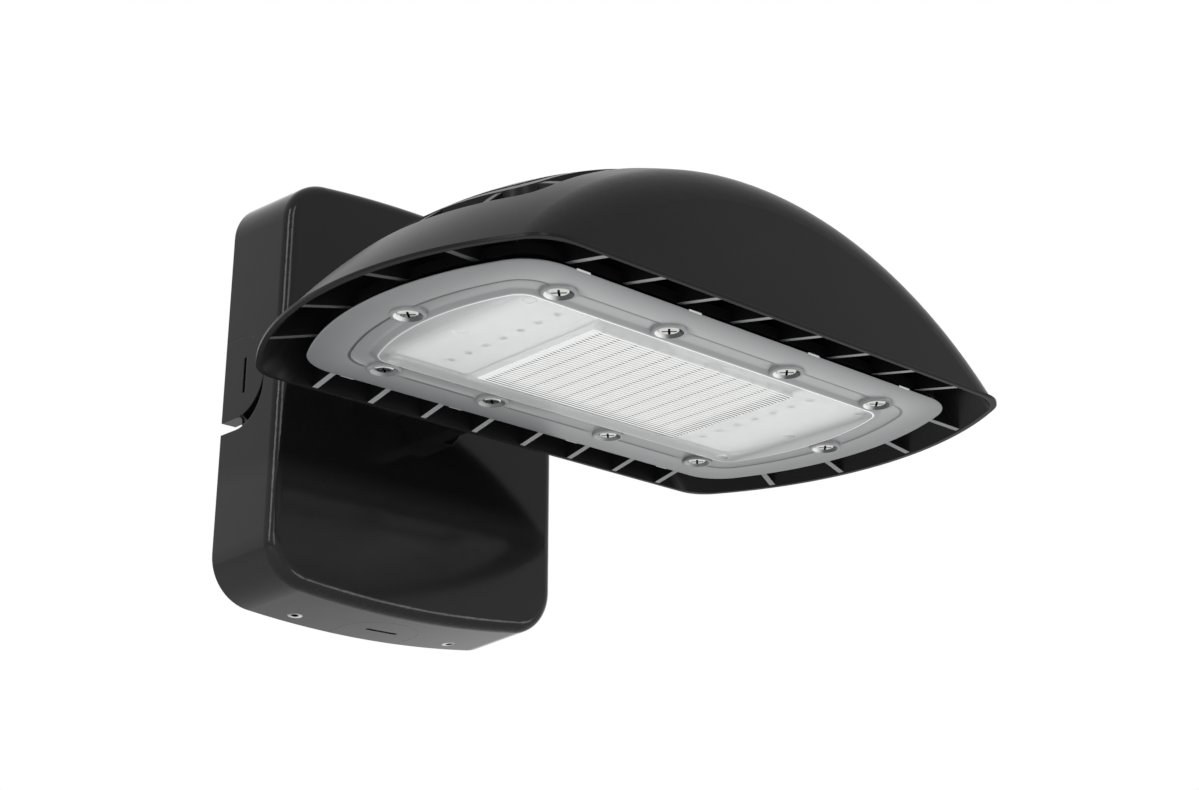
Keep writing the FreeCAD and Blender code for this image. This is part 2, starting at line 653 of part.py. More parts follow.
def plan_ring(margin, width, corner, z0, z1):
    """A band of the plan, from a margin inwards."""
    return plan_prism(margin, corner, z0, z1).cut(plan_prism(margin + width, corner, z0 - OVER, z1 + OVER))


def panel_half(z, inset):
    """Distance from the head's middle to a panel, which leans in towards the top."""
    return HEAD_HALF - inset - PANEL_DRAFT * (z - RIM_Z) / DOME_RISE


def dome_body(inset, floor_z):
    """The head filled solid down to floor_z, drawn in by inset."""
    ball = Part.makeSphere(DOME_RADIUS - inset, vec(0, HEAD_Y, DOME_CENTRE_Z))
    corners = [(side * panel_half(z, inset), z) for side, z in
               ((-1, floor_z), (1, floor_z), (1, HEAD_TOP_Z), (-1, HEAD_TOP_Z))]
    slab = prism([vec(-DOME_RADIUS, HEAD_Y + y, z) for y, z in corners], RIGHT * 2 * DOME_RADIUS)
    body = ball.common(slab)
    on_panels = edges_where(body, lambda p: abs(abs(p.y - HEAD_Y) - panel_half(p.z, inset)) < NEAR)
    arches = [edge for edge in on_panels if edge.BoundBox.ZLength > OVER]
    return body.makeFillet(DOME_EDGE - inset, arches)


DOME_OUTER = dome_body(0, RIM_Z)
DOME_INNER = dome_body(SHELL, RIM_Z - OVER)
DOME_FIN_TOP = dome_body(FIN_SINK, RIM_Z - OVER)
DOME_SEAL_UNDER = dome_body(SHELL + CAP_SEAL, RIM_Z - OVER)
DOME_WALL = DOME_OUTER.cut(DOME_INNER)


def fin_profile(reach):
    """Fin from the side as (out, z) for a head of the given reach: its lower edge rises to the floor."""
    outer = reach - SHELL / 2
    edge = reach - FLOOR_MARGIN - FIN_BITE
    root = reach - CHAMBER_MARGIN - FIN_BITE
    inside_z = FLOOR_TOP_Z - FIN_BITE
    return [(outer, RIM_Z + FIN_LIFT), (edge, FLOOR_Z), (edge, inside_z), (root, inside_z),
            (root, HEAD_TOP_Z), (outer, HEAD_TOP_Z)]


def straight_fin(x, side):
    """A fin square to the front (side -1) or the rear (side 1) panel."""
    points = [vec(x - FIN_THICK / 2, HEAD_Y + side * out, z) for out, z in fin_profile(HEAD_HALF)]
    return prism(points, RIGHT * FIN_THICK)


def end_fin(degrees, side):
    """A fin at an end of the head, pointing at its middle."""
    points = [vec(side * out, HEAD_Y + FIN_THICK / 2, z) for out, z in fin_profile(HEAD_RADIUS)]
    return prism(points, OUT * FIN_THICK).rotate(vec(0, HEAD_Y, 0), UP, degrees)


def make_fins():
    fins = []
    for i in range(FIN_PAIRS):
        for x in mirrored([FIN_SPACING * (i + 0.5)]):
            fins += [straight_fin(x, side) for side in (-1, 1)]
    for degrees in mirrored(END_FIN_ANGLES):
        fins += [end_fin(degrees, side) for side in (-1, 1)]
    return [fin.common(DOME_FIN_TOP) for fin in fins]


def cap_space():
    """Room for the driver cap and its seal on top of the chamber wall."""
    plan = plan_prism(CHAMBER_MARGIN - CAP_CLEARANCE, PLAN_CORNER, FLOOR_TOP_Z, HEAD_TOP_Z + OVER)
    return plan.cut(DOME_SEAL_UNDER)


def make_head_casting():
    """Skirt, rim lip, fins, grille bar, chamber wall, floor and tongue boss in one die casting."""
    skirt = DOME_WALL.cut(plan_prism(VENT_MARGIN, PLAN_CORNER, RIM_Z - OVER, HEAD_TOP_Z + OVER))
    lip = plan_prism(0, LIP_CORNER, RIM_Z, RIM_Z + LIP_HEIGHT).cut(DOME_INNER)
    floor = plan_prism(FLOOR_MARGIN, PLAN_CORNER, FLOOR_Z, FLOOR_TOP_Z)
    wall = plan_ring(CHAMBER_MARGIN, CHAMBER_WALL, PLAN_CORNER, FLOOR_Z, HEAD_TOP_Z).common(DOME_SEAL_UNDER)
    bar = plan_ring(BAR_MARGIN, GRILLE_BAR, PLAN_CORNER, RIM_Z, HEAD_TOP_Z).common(DOME_OUTER)
    bar = bar.cut(dome_body(GRILLE_DEPTH, RIM_Z - OVER))
    boss_half = TONGUE_BASE_HALF + TONGUE_BOSS_MARGIN
    boss_rise = TONGUE_BASE_HEIGHT / 2 + TONGUE_BOSS_MARGIN
    boss = block((-boss_half, boss_half), (HEAD_Y + CHAMBER_HALF - FIN_BITE, HEAD_REAR_Y),
                 (PIVOT_Z - boss_rise, PIVOT_Z + boss_rise))
    cuts = [rod(GROMMET_HOLE_RADIUS, vec(TONGUE_WIRE_X, HEAD_REAR_Y + OVER, PIVOT_Z), OUT,
                CHAMBER_MARGIN + CHAMBER_WALL + 2 * OVER)]
    cuts += tongue_screws(THREAD_CLEARANCE, OVER) + cap_screws(THREAD_CLEARANCE, OVER)
    holes = [(x, y, LENS_SCREW_RADIUS) for x, y in lens_screw_places()]
    holes += [(x, HEAD_Y, DRIVER_SCREW_RADIUS) for x in driver_screw_xs()]
    holes += [(x, y, BOARD_SCREW_RADIUS) for x, y in board_screw_places()]
    holes.append((LEAD_HOLE_X, HEAD_Y, LEAD_HOLE_RADIUS))
    cuts += [rod(radius + THREAD_CLEARANCE, vec(x, y, FLOOR_Z - OVER), UP, FLOOR_THICK + 2 * OVER)
             for x, y, radius in holes]
    cuts.append(cap_space())
    return join([skirt, lip, floor, wall, bar, boss] + make_fins()).cut(cuts)


# The driver cap: the middle of the dome, on posts, over the driver

def post_places():
    return [(x, HEAD_Y + y) for x in (-POST_X, POST_X) for y in (-POST_Y, POST_Y)]


def cap_screws(grow, proud):
    """Screws up through the floor into the cap's posts; as cutters they are grown and stand proud."""
    seat_z = FLOOR_Z + CAP_HEAD_HEIGHT
    return [headed_pin(vec(x, y, seat_z), UP, (CAP_HEAD_RADIUS + grow, CAP_HEAD_HEIGHT + proud),
                       (CAP_SCREW_RADIUS + grow, CAP_SCREW_LENGTH + proud)) for x, y in post_places()]


def make_driver_cap():
    cap = DOME_WALL.common(plan_prism(CHAMBER_MARGIN, PLAN_CORNER, FLOOR_TOP_Z, HEAD_TOP_Z + OVER))
    posts = [rod(POST_RADIUS, vec(x, y, FLOOR_TOP_Z), UP, DOME_RISE).common(DOME_FIN_TOP)
             for x, y in post_places()]
    return join([cap] + posts).cut(cap_screws(THREAD_CLEARANCE, OVER))


def make_cap_seal():
    ring = plan_ring(CHAMBER_MARGIN, CHAMBER_WALL, PLAN_CORNER, FLOOR_TOP_Z, HEAD_TOP_Z)
    return ring.common(DOME_INNER).cut(DOME_SEAL_UNDER)


def driver_screw_xs():
    return mirrored([DRIVER_LENGTH / 2 + DRIVER_TAB / 2])


def make_driver():
    case = block((-DRIVER_LENGTH / 2, DRIVER_LENGTH / 2),
                 (HEAD_Y - DRIVER_WIDTH / 2, HEAD_Y + DRIVER_WIDTH / 2),
                 (FLOOR_TOP_Z, FLOOR_TOP_Z + DRIVER_HEIGHT))
    case = case.makeFillet(DRIVER_EDGE, edges_where(case, lambda p: p.z > FLOOR_TOP_Z + DRIVER_HEIGHT - NEAR))
    tab_reach = DRIVER_LENGTH / 2 + DRIVER_TAB
    tabs = block((-tab_reach, tab_reach), (HEAD_Y - DRIVER_TAB_WIDTH / 2, HEAD_Y + DRIVER_TAB_WIDTH / 2),
                 (FLOOR_TOP_Z, FLOOR_TOP_Z + DRIVER_TAB_THICK))
    holes = [rod(DRIVER_SCREW_RADIUS + THREAD_CLEARANCE, vec(x, HEAD_Y, FLOOR_TOP_Z - OVER), UP,
                 DRIVER_TAB_THICK + 2 * OVER) for x in driver_screw_xs()]
    return join([case, tabs]).cut(holes)


def make_driver_screws():
    return [headed_pin(vec(x, HEAD_Y, FLOOR_TOP_Z + DRIVER_TAB_THICK), UP * -1,
                       (DRIVER_HEAD_RADIUS, DRIVER_HEAD_HEIGHT),
                       (DRIVER_SCREW_RADIUS, DRIVER_TAB_THICK + FLOOR_THICK)) for x in driver_screw_xs()]


# The lens plate: a flange, a channel with collared screws, and a dimpled window round the optic

def row_screw_xs():
    return mirrored([ROW_SCREW_X, ROW_END_X])


def lens_screw_places():
    places = [(x, HEAD_Y + y) for x in row_screw_xs() for y in (-ROW_Y, ROW_Y)]
    return places + [(x, HEAD_Y) for x in mirrored([HEAD_RADIUS - SCREW_MARGIN])]


def optic_block(grow, z0, z1):
    return block((-OPTIC_LENGTH / 2 - grow, OPTIC_LENGTH / 2 + grow),
                 (HEAD_Y - OPTIC_WIDTH / 2 - grow, HEAD_Y + OPTIC_WIDTH / 2 + grow), (z0, z1))


def lens_tabs():
    """Small lugs on the flange's edge, outwards of each screw of the rows."""
    outer = HEAD_HALF - LENS_MARGIN + TAB_OUT
    return [block((x - TAB_HALF, x + TAB_HALF), (HEAD_Y + side * outer, HEAD_Y + side * (outer - TAB_WIDTH)),
                  (RIM_Z + FLANGE_FACE - TAB_PROUD, RIM_Z + TAB_TOP))
            for x in row_screw_xs() for side in (-1, 1)]


def make_lens_plate():
    flange = plan_prism(LENS_MARGIN, LENS_CORNER, RIM_Z + FLANGE_FACE, RIM_Z + LENS_EDGE_TOP)
    middle = plan_prism(LENS_MARGIN + LENS_EDGE_WIDTH, LENS_CORNER, RIM_Z + FLANGE_FACE, LENS_TOP_Z)
    channel = plan_prism(CHANNEL_MARGIN, WINDOW_CORNER + WINDOW_SLOPE, RIM_Z, RIM_Z + CHANNEL_FACE)
    step = plan_prism(WINDOW_MARGIN - WINDOW_SLOPE, WINDOW_CORNER + WINDOW_SLOPE,
                      RIM_Z + FLANGE_FACE, LENS_TOP_Z)
    window = plan_prism(WINDOW_MARGIN, WINDOW_CORNER, RIM_Z + WINDOW_FACE, LENS_TOP_Z)
    collars = [rod(COLLAR_RADIUS, vec(x, y, RIM_Z + COLLAR_FACE), UP, LENS_TOP - COLLAR_FACE)
               for x, y in lens_screw_places()]
    body = join([join([flange, middle]).cut(channel), step, window] + collars + lens_tabs())
    cuts = [plan_prism(WINDOW_INSIDE_MARGIN, WINDOW_CORNER, WINDOW_BACK_Z, LENS_TOP_Z + OVER),
            optic_block(OPTIC_CLEARANCE, RIM_Z - OVER, LENS_TOP_Z)]
    cuts += [rod(DIMPLE_RADIUS, vec(x, HEAD_Y + y, RIM_Z), UP, WINDOW_FACE + DIMPLE_DEPTH)
             for x in mirrored([DIMPLE_X]) for y in (-DIMPLE_Y, 0, DIMPLE_Y)]
    seat_depth = SEAT_LIFT - COLLAR_FACE
    for x, y in lens_screw_places():
        mouth = vec(x, y, RIM_Z + COLLAR_FACE)
        cuts.append(Part.makeCone(CUP_RADIUS, SEAT_RADIUS, CUP_DEPTH, mouth, UP))
        cuts.append(rod(SEAT_RADIUS, mouth, UP, seat_depth))
        cuts.append(rod(LENS_SCREW_RADIUS + THREAD_CLEARANCE, vec(x, y, RIM_Z), UP, LENS_TOP + OVER))
    return body.cut(cuts)


def make_lens_seal():
    ring = plan_ring(LENS_MARGIN + LENS_EDGE_WIDTH + LENS_SEAL_OUTER, LENS_SEAL_WIDTH, PLAN_CORNER,
                     LENS_TOP_Z, FLOOR_Z)
    return ring.cut([rod(LENS_SCREW_RADIUS + THREAD_CLEARANCE, vec(x, y, LENS_TOP_Z - OVER), UP,
                         LENS_SEAL_THICK + 2 * OVER) for x, y in lens_screw_places()])


def make_lens_screws():
    """Cross-recess pan heads, sunk in the cups of the collars."""
    seat_z = RIM_Z + SEAT_LIFT
    face_z = seat_z - LENS_HEAD_HEIGHT
    screws = []
    for x, y in lens_screw_places():
        head = rod(LENS_HEAD_RADIUS, vec(x, y, face_z), UP, LENS_HEAD_HEIGHT)
        head = head.makeFillet(LENS_HEAD_EDGE, edges_where(head, lambda p: p.z < face_z + NEAR))
        shank = rod(LENS_SCREW_RADIUS, vec(x, y, seat_z), UP, FLOOR_TOP_Z - seat_z)
        cross = [block((x - a / 2, x + a / 2), (y - b / 2, y + b / 2), (face_z, face_z + CROSS_DEPTH))
                 for a, b in ((CROSS_LENGTH, CROSS_WIDTH), (CROSS_WIDTH, CROSS_LENGTH))]
        screws.append(join([head, shank]).cut(cross))
    return screws


# The optic, its rails and the light board behind the window

def make_optic_panel():
    """A prismatic panel flush in the window, with a ledge behind it."""
    front = optic_block(0, RIM_Z + WINDOW_FACE, WINDOW_BACK_Z + OPTIC_LEDGE_THICK)
    ledge = optic_block(OPTIC_LEDGE, WINDOW_BACK_Z, WINDOW_BACK_Z + OPTIC_LEDGE_THICK)
    hollow = optic_block(-OPTIC_LEDGE, WINDOW_BACK_Z, WINDOW_BACK_Z + OPTIC_LEDGE_THICK)
    return join([front, ledge]).cut(hollow)


def make_optic_rails():
    """Two L-shaped strips that the board presses on the optic's long ledges."""
    ledge_half = OPTIC_WIDTH / 2 + OPTIC_LEDGE
    ledge_top = WINDOW_BACK_Z + OPTIC_LEDGE_THICK
    foot = (ledge_half + OPTIC_CLEARANCE, WINDOW_INSIDE_HALF - OPTIC_CLEARANCE)
    x_range = (-OPTIC_LENGTH / 2, OPTIC_LENGTH / 2)
    rails = []
    for side in (-1, 1):
        leg = block(x_range, [HEAD_Y + side * y for y in foot], (WINDOW_BACK_Z, BOARD_BACK_Z))
        bite = block(x_range, [HEAD_Y + side * y for y in (ledge_half - RAIL_BITE, foot[1])],
                     (ledge_top, BOARD_BACK_Z))
        rails.append(join([leg, bite]))
    return rails


def board_screw_places():
    xs = mirrored([OPTIC_LENGTH / 2 + BOARD_SCREW_GAP, BOARD_END_X - BOARD_SCREW_INSET])
    return [(x, HEAD_Y + y) for x in xs for y in (-BOARD_SCREW_Y, BOARD_SCREW_Y)]


def make_light_board():
    board = plan_prism(BOARD_OUTLINE_MARGIN, BOARD_CORNER, BOARD_BACK_Z, FLOOR_Z)
    return board.cut([rod(BOARD_HEAD_RADIUS + THREAD_CLEARANCE, vec(x, y, BOARD_BACK_Z - OVER), UP,
                          BOARD_THICK + 2 * OVER) for x, y in board_screw_places()])


def make_board_screws():
    head = (BOARD_HEAD_RADIUS, BOARD_THICK)
    shank = (BOARD_SCREW_RADIUS, BOARD_SCREW_GRIP)
    return [headed_pin(vec(x, y, FLOOR_Z), UP, head, shank) for x, y in board_screw_places()]


def make_light_chips():
    columns = [CHIP_PITCH_X * (i - (CHIP_COLUMNS - 1) / 2) for i in range(CHIP_COLUMNS)]
    columns += mirrored([OPTIC_LENGTH / 2 + CHIP_END_GAP])
    rows = [HEAD_Y + CHIP_PITCH_Y * (j - (CHIP_ROWS - 1) / 2) for j in range(CHIP_ROWS)]
    return [block((x - CHIP_SIZE / 2, x + CHIP_SIZE / 2), (y - CHIP_SIZE / 2, y + CHIP_SIZE / 2),
                  (BOARD_BACK_Z - CHIP_HEIGHT, BOARD_BACK_Z)) for x in columns for y in rows]


save("wall_gasket", make_wall_gasket())
save("wall_plate", make_wall_plate())
save("ground_screw", make_ground_screw())
save("wall_box", make_wall_box())
save("grub_screws", make_grub_screws())
save("left_plug", make_side_plug(-1))
save("right_plug", make_side_plug(1))
save("bottom_plug", make_bottom_plug())
save("arm", make_arm())
save("arm_screws", make_arm_screws())
save("arm_grommet", grommet(vec(ARM_WIRE_X, BOX_INSIDE_Y, PIVOT_Z), OUT, BOX_WALL))
save("pivot_bolt", make_pivot_bolt())
save("pivot_nut", make_pivot_nut())
save("pivot_washers", make_pivot_washers())
save("head_tongue", make_tongue())
save("tongue_screws", tongue_screws(0, 0))
save("head_casting", make_head_casting())
save("head_grommet", grommet(vec(TONGUE_WIRE_X, HEAD_Y + CHAMBER_HALF - CHAMBER_WALL, PIVOT_Z), OUT * -1,
                             CHAMBER_WALL))
save("driver_cap", make_driver_cap())
save("cap_seal", make_cap_seal())
save("cap_screws", cap_screws(0, 0))
save("driver", make_driver())
save("driver_screws", make_driver_screws())
save("light_board", make_light_board())
save("board_screws", make_board_screws())
save("light_chips", make_light_chips())
save("lens_seal", make_lens_seal())
save("lens_plate", make_lens_plate())
save("optic_panel", make_optic_panel())
save("optic_rails", make_optic_rails())
save("lens_screws", make_lens_screws())
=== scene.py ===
import math

import bmesh
import bpy
from mathutils import Matrix, Vector


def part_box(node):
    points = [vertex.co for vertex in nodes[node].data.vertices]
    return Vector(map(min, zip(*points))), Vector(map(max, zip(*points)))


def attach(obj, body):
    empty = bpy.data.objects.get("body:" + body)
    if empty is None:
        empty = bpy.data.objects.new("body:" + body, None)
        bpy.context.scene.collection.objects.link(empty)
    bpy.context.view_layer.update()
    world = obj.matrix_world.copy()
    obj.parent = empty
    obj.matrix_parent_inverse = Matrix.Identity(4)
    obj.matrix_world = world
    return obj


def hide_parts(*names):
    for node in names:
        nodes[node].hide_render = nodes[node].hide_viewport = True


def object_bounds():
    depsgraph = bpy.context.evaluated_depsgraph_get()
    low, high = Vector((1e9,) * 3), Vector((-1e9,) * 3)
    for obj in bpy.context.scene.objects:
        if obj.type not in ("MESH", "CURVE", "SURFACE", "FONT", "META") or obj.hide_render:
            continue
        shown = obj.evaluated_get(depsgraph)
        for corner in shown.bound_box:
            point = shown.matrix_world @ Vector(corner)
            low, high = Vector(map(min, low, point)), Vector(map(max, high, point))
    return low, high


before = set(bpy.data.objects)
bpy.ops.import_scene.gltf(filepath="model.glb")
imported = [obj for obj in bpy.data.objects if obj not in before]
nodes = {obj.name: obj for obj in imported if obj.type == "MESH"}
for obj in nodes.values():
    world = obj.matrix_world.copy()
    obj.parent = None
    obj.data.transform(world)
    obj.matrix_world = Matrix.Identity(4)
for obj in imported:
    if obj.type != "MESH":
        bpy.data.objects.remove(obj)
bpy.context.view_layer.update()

# Wall gasket: a flat ring of closed-cell EPDM foam, die cut from sheet.
# It is squeezed between the wall and the wall plate and keeps water out of the box.
# Foam gives the eye a dead black face with a fine pitted grain.

MM = 0.001
FOAM_CELL = 0.8 * MM
CELL_DEPTH = 0.15 * MM


def colour(code):
    """An sRGB hex colour as linear RGBA."""
    channels = [int(code[i:i + 2], 16) / 255 for i in (1, 3, 5)]
    linear = [c / 12.92 if c <= 0.04045 else ((c + 0.055) / 1.055) ** 2.4 for c in channels]
    return (*linear, 1.0)


def feed(tree, node, links):
    """Links a node's inputs, each from a socket or from the first output in use on another node."""
    for socket, source in dict(links).items():
        if isinstance(source, bpy.types.Node):
            source = next(output for output in source.outputs if output.enabled)
        tree.links.new(source, node.inputs[socket])


def add_node(tree, kind, values=(), links=(), **settings):
    """Adds a node: settings are its properties, values fill its inputs, links feed them."""
    node = tree.nodes.new(kind)
    for key, value in settings.items():
        setattr(node, key, value)
    for socket, value in dict(values).items():
        node.inputs[socket].default_value = value
    feed(tree, node, links)
    return node


def new_material(name, roughness, metallic=0.0):
    """A material with its shader and its object coordinates, in metres."""
    material = bpy.data.materials.new(name)
    material.use_nodes = True
    tree = material.node_tree
    shader = tree.nodes["Principled BSDF"]
    shader.inputs["Roughness"].default_value = roughness
    shader.inputs["Metallic"].default_value = metallic
    place = add_node(tree, "ShaderNodeTexCoord").outputs["Object"]
    return material, tree, shader, place


def dress(material, *names):
    """Gives CAD nodes a finish."""
    for name in names:
        nodes[name].material_slots[0].material = material


def epdm_foam():
    """Skin of a foam sheet: matt black, pitted where its cells are cut."""
    material, tree, shader, place = new_material("epdm_foam", 0.85)
    cells = add_node(tree, "ShaderNodeTexVoronoi", {"Scale": 1 / FOAM_CELL}, {"Vector": place})
    black = add_node(tree, "ShaderNodeMix", {"A": colour("#0c0c0c"), "B": colour("#1d1d1e")}, {"Factor": cells},
                     data_type="RGBA")
    pits = add_node(tree, "ShaderNodeBump", {"Strength": 0.5, "Distance": CELL_DEPTH}, {"Height": cells})
    feed(tree, shader, {"Base Color": black, "Normal": pits})
    return material


dress(epdm_foam(), "wall_gasket")

# Wall plate: pressed steel sheet with a flange along its top and its bottom, hot-dip galvanised.
# Four wall screws or two outlet box screws hold it, and the box slides over its flanges.
# Zinc freezes in spangles, so its grey is mottled in patches about 7 mm wide.

SPANGLE = 7 * MM
ZINC_GRAIN = 0.6 * MM
ZINC_DEPTH = 0.02 * MM


def galvanised_steel():
    """Bright zinc with spangles, each at its own angle to the light."""
    material, tree, shader, place = new_material("galvanised_steel", 0.38, 1.0)
    spangles = add_node(tree, "ShaderNodeTexVoronoi", {"Scale": 1 / SPANGLE}, {"Vector": place})
    shade = add_node(tree, "ShaderNodeRGBToBW", links={"Color": spangles.outputs["Color"]})
    zinc = add_node(tree, "ShaderNodeMix", {"A": colour("#8d9295"), "B": colour("#b9bdbf")}, {"Factor": shade},
                    data_type="RGBA")
    gloss = add_node(tree, "ShaderNodeMapRange", {"To Min": 0.28, "To Max": 0.5}, {"Value": shade})
    grain = add_node(tree, "ShaderNodeTexNoise", {"Scale": 1 / ZINC_GRAIN, "Detail": 3.0}, {"Vector": place})
    bumps = add_node(tree, "ShaderNodeBump", {"Strength": 0.3, "Distance": ZINC_DEPTH}, {"Height": grain})
    feed(tree, shader, {"Base Color": zinc, "Roughness": gloss, "Normal": bumps})
    return material


dress(galvanised_steel(), "wall_plate")

# Ground screw: a washer-faced hex screw dyed green, the usual mark for an earth terminal.
# It is threaded into the wall plate.
# Dye over zinc is thin, so the metal shines through it.

DYE_PATCH = 2 * MM


def green_dyed_zinc():
    """Steel screw with a thin green dye over its zinc."""
    material, tree, shader, place = new_material("green_dyed_zinc", 0.3, 1.0)
    patches = add_node(tree, "ShaderNodeTexNoise", {"Scale": 1 / DYE_PATCH, "Detail": 3.0}, {"Vector": place})
    dye = add_node(tree, "ShaderNodeMix", {"A": colour("#2c6b3f"), "B": colour("#4b8f5c")}, {"Factor": patches},
                   data_type="RGBA")
    gloss = add_node(tree, "ShaderNodeMapRange", {"To Min": 0.25, "To Max": 0.4}, {"Value": patches})
    feed(tree, shader, {"Base Color": dye, "Roughness": gloss})
    return material


dress(green_dyed_zinc(), "ground_screw")

# Wall box and its conduit plugs: aluminium die castings with a black polyester powder coat.
# The box hangs over the wall plate; the plugs close its conduit entries and are slotted for a driver.
# Powder coat gives a deep black with a satin gloss and a faint orange peel.

COAT_PATCH = 45 * MM
ORANGE_PEEL = 1.6 * MM
PEEL_DEPTH = 0.05 * MM
EDGE_ROUND = 0.45 * MM
PAINTED_LIGHT_FROM = -34 * MM
PAINTED_LIGHT_FULL = -46 * MM
ROUGHER = 1.6
LOOKING_DOWN = -0.9
TRIM_SCRATCH = 1.2 * MM
SHADED_TRIM = 0.25
FIN_SHADE_FADE = 5 * MM
BOX_COAT_IOR = 1.28
BOX_SMOOTHEST = 0.08


def powder_coat(name, ior, smoothest, darkest, lightest, trimmed=None, shaded_fins_to=0.0):
    """Black polyester powder on a casting, painted paler low down, as light reflected onto it.

    Faces that look down between the two trimmed heights are scratched and paler; up to a place along the length
    they are painted darker, as shade.
    """
    material, tree, shader, place = new_material(name, 0.16)
    shader.inputs["IOR"].default_value = ior
    spot = add_node(tree, "ShaderNodeSeparateXYZ", links={"Vector": place})
    patches = add_node(tree, "ShaderNodeTexNoise", {"Scale": 1 / COAT_PATCH, "Detail": 2.0}, {"Vector": place})
    clean = add_node(tree, "ShaderNodeMix", {"A": colour(darkest), "B": colour(lightest)}, {"Factor": patches},
                     data_type="RGBA")
    # Painted light: lower down the coat is painted paler, standing in for light reflected onto it.
    painted_low_light = add_node(tree, "ShaderNodeMapRange", {"From Min": PAINTED_LIGHT_FROM, "From Max": PAINTED_LIGHT_FULL},
                    {"Value": spot.outputs["Z"]}, interpolation_type="SMOOTHSTEP")
    coat = add_node(tree, "ShaderNodeMix", {"B": colour("#19191a")}, {"Factor": painted_low_light, "A": clean}, data_type="RGBA")
    if trimmed:
        low, high = trimmed
        normal = add_node(tree, "ShaderNodeTexCoord").outputs["Normal"]
        facing = add_node(tree, "ShaderNodeSeparateXYZ", links={"Vector": normal})
        down = add_node(tree, "ShaderNodeMath", {1: LOOKING_DOWN}, {0: facing.outputs["Z"]}, operation="LESS_THAN")
        reach = add_node(tree, "ShaderNodeMath", {1: (low + high) / 2, 2: (high - low) / 2},
                         {0: spot.outputs["Z"]}, operation="COMPARE")
        edges = add_node(tree, "ShaderNodeMath", links={0: down, 1: reach}, operation="MULTIPLY")
        # Painted shade: towards the left end the trimmed edges stay dark.
        along = add_node(tree, "ShaderNodeMapRange",
                         {"From Min": shaded_fins_to, "From Max": shaded_fins_to + FIN_SHADE_FADE, "To Min": SHADED_TRIM},
                         {"Value": spot.outputs["X"]})
        trim = add_node(tree, "ShaderNodeMath", links={0: edges, 1: along}, operation="MULTIPLY")
        scratches = add_node(tree, "ShaderNodeTexNoise", {"Scale": 1 / TRIM_SCRATCH, "Detail": 3.0},
                             {"Vector": place})
        scratched = add_node(tree, "ShaderNodeMix", {"A": colour("#7d7e7f"), "B": colour("#929394")},
                             {"Factor": scratches}, data_type="RGBA")
        coat = add_node(tree, "ShaderNodeMix", links={"Factor": trim, "A": coat, "B": scratched}, data_type="RGBA")
    gloss = add_node(tree, "ShaderNodeMapRange", {"To Min": smoothest, "To Max": ROUGHER * smoothest},
                     {"Value": patches})
    peel = add_node(tree, "ShaderNodeTexNoise", {"Scale": 1 / ORANGE_PEEL, "Detail": 1.0}, {"Vector": place})
    rounded = add_node(tree, "ShaderNodeBevel", {"Radius": EDGE_ROUND}, samples=4)
    bumps = add_node(tree, "ShaderNodeBump", {"Strength": 0.06, "Distance": PEEL_DEPTH},
                     {"Height": peel, "Normal": rounded})
    feed(tree, shader, {"Base Color": coat, "Roughness": gloss, "Normal": bumps})
    return material


black_coat = powder_coat("black_powder_coat", BOX_COAT_IOR, BOX_SMOOTHEST, "#0a0a0b", "#0f0f10")
dress(black_coat, "wall_box", "left_plug", "right_plug", "bottom_plug")

# Screws of stainless steel: set screws under the box, and the screws of arm, cap, driver and lens.
# Cold-headed wire with rolled threads, driven by a hexagon socket or a cross.
# Stainless steel is bright, with fine drawn streaks and a soft gleam.

WIRE_STREAK = 0.5 * MM
STREAK_DEPTH = 0.02 * MM
SOCKET_FROM = 0.15 * MM
SOCKET_DARK = 0.6 * MM


def stainless_steel(name, shaded_between=None):
    """Bright headed wire with fine streaks; between two heights, where they are given, it is painted dark as shade
    in a socket.
    """
    material, tree, shader, place = new_material(name, 0.24, 1.0)
    streaks = add_node(tree, "ShaderNodeTexNoise", {"Scale": 1 / WIRE_STREAK, "Detail": 4.0}, {"Vector": place})
    wire = add_node(tree, "ShaderNodeMix", {"A": colour("#d0d0cd"), "B": colour("#ecece9")}, {"Factor": streaks},
                    data_type="RGBA")
    if shaded_between:
        spot = add_node(tree, "ShaderNodeSeparateXYZ", links={"Vector": place})
        socket_shade = add_node(tree, "ShaderNodeMapRange", {"From Min": shaded_between[0], "From Max": shaded_between[1]},
                          {"Value": spot.outputs["Z"]})
        wire = add_node(tree, "ShaderNodeMix", {"B": colour("#0d0d0e")}, {"Factor": socket_shade, "A": wire},
                        data_type="RGBA")
    gloss = add_node(tree, "ShaderNodeMapRange", {"To Min": 0.12, "To Max": 0.26}, {"Value": streaks})
    bumps = add_node(tree, "ShaderNodeBump", {"Strength": 0.25, "Distance": STREAK_DEPTH}, {"Height": streaks})
    feed(tree, shader, {"Base Color": wire, "Roughness": gloss, "Normal": bumps})
    return material


bright_steel = stainless_steel("stainless_steel")
dress(bright_steel, "arm_screws", "cap_screws", "driver_screws")
# The set screws' sockets are painted dark within, as shade.
grub_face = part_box("grub_screws")[0].z
dress(stainless_steel("socket_steel", (grub_face + SOCKET_FROM, grub_face + SOCKET_DARK)), "grub_screws")

# Knuckle: a die-cast arm on the box and a die-cast tongue on the head, lapped half and half.
# Cap screws hold the arm from inside the box, and countersunk screws hold the tongue's flange.
# Both have the same black powder coat as the box.

dress(black_coat, "arm", "head_tongue")

# Pivot bolt, nut and washers, and the tongue's screws: steel, blackened in an oxide bath.
# The bolt clamps the two halves of the knuckle, so the head stays where it is put.
# Black oxide is a thin, oily, blue-black skin that lets the metal gleam at its edges.

OXIDE_PATCH = 1.5 * MM
OXIDE_GRAIN = 0.4 * MM
OXIDE_DEPTH = 0.02 * MM


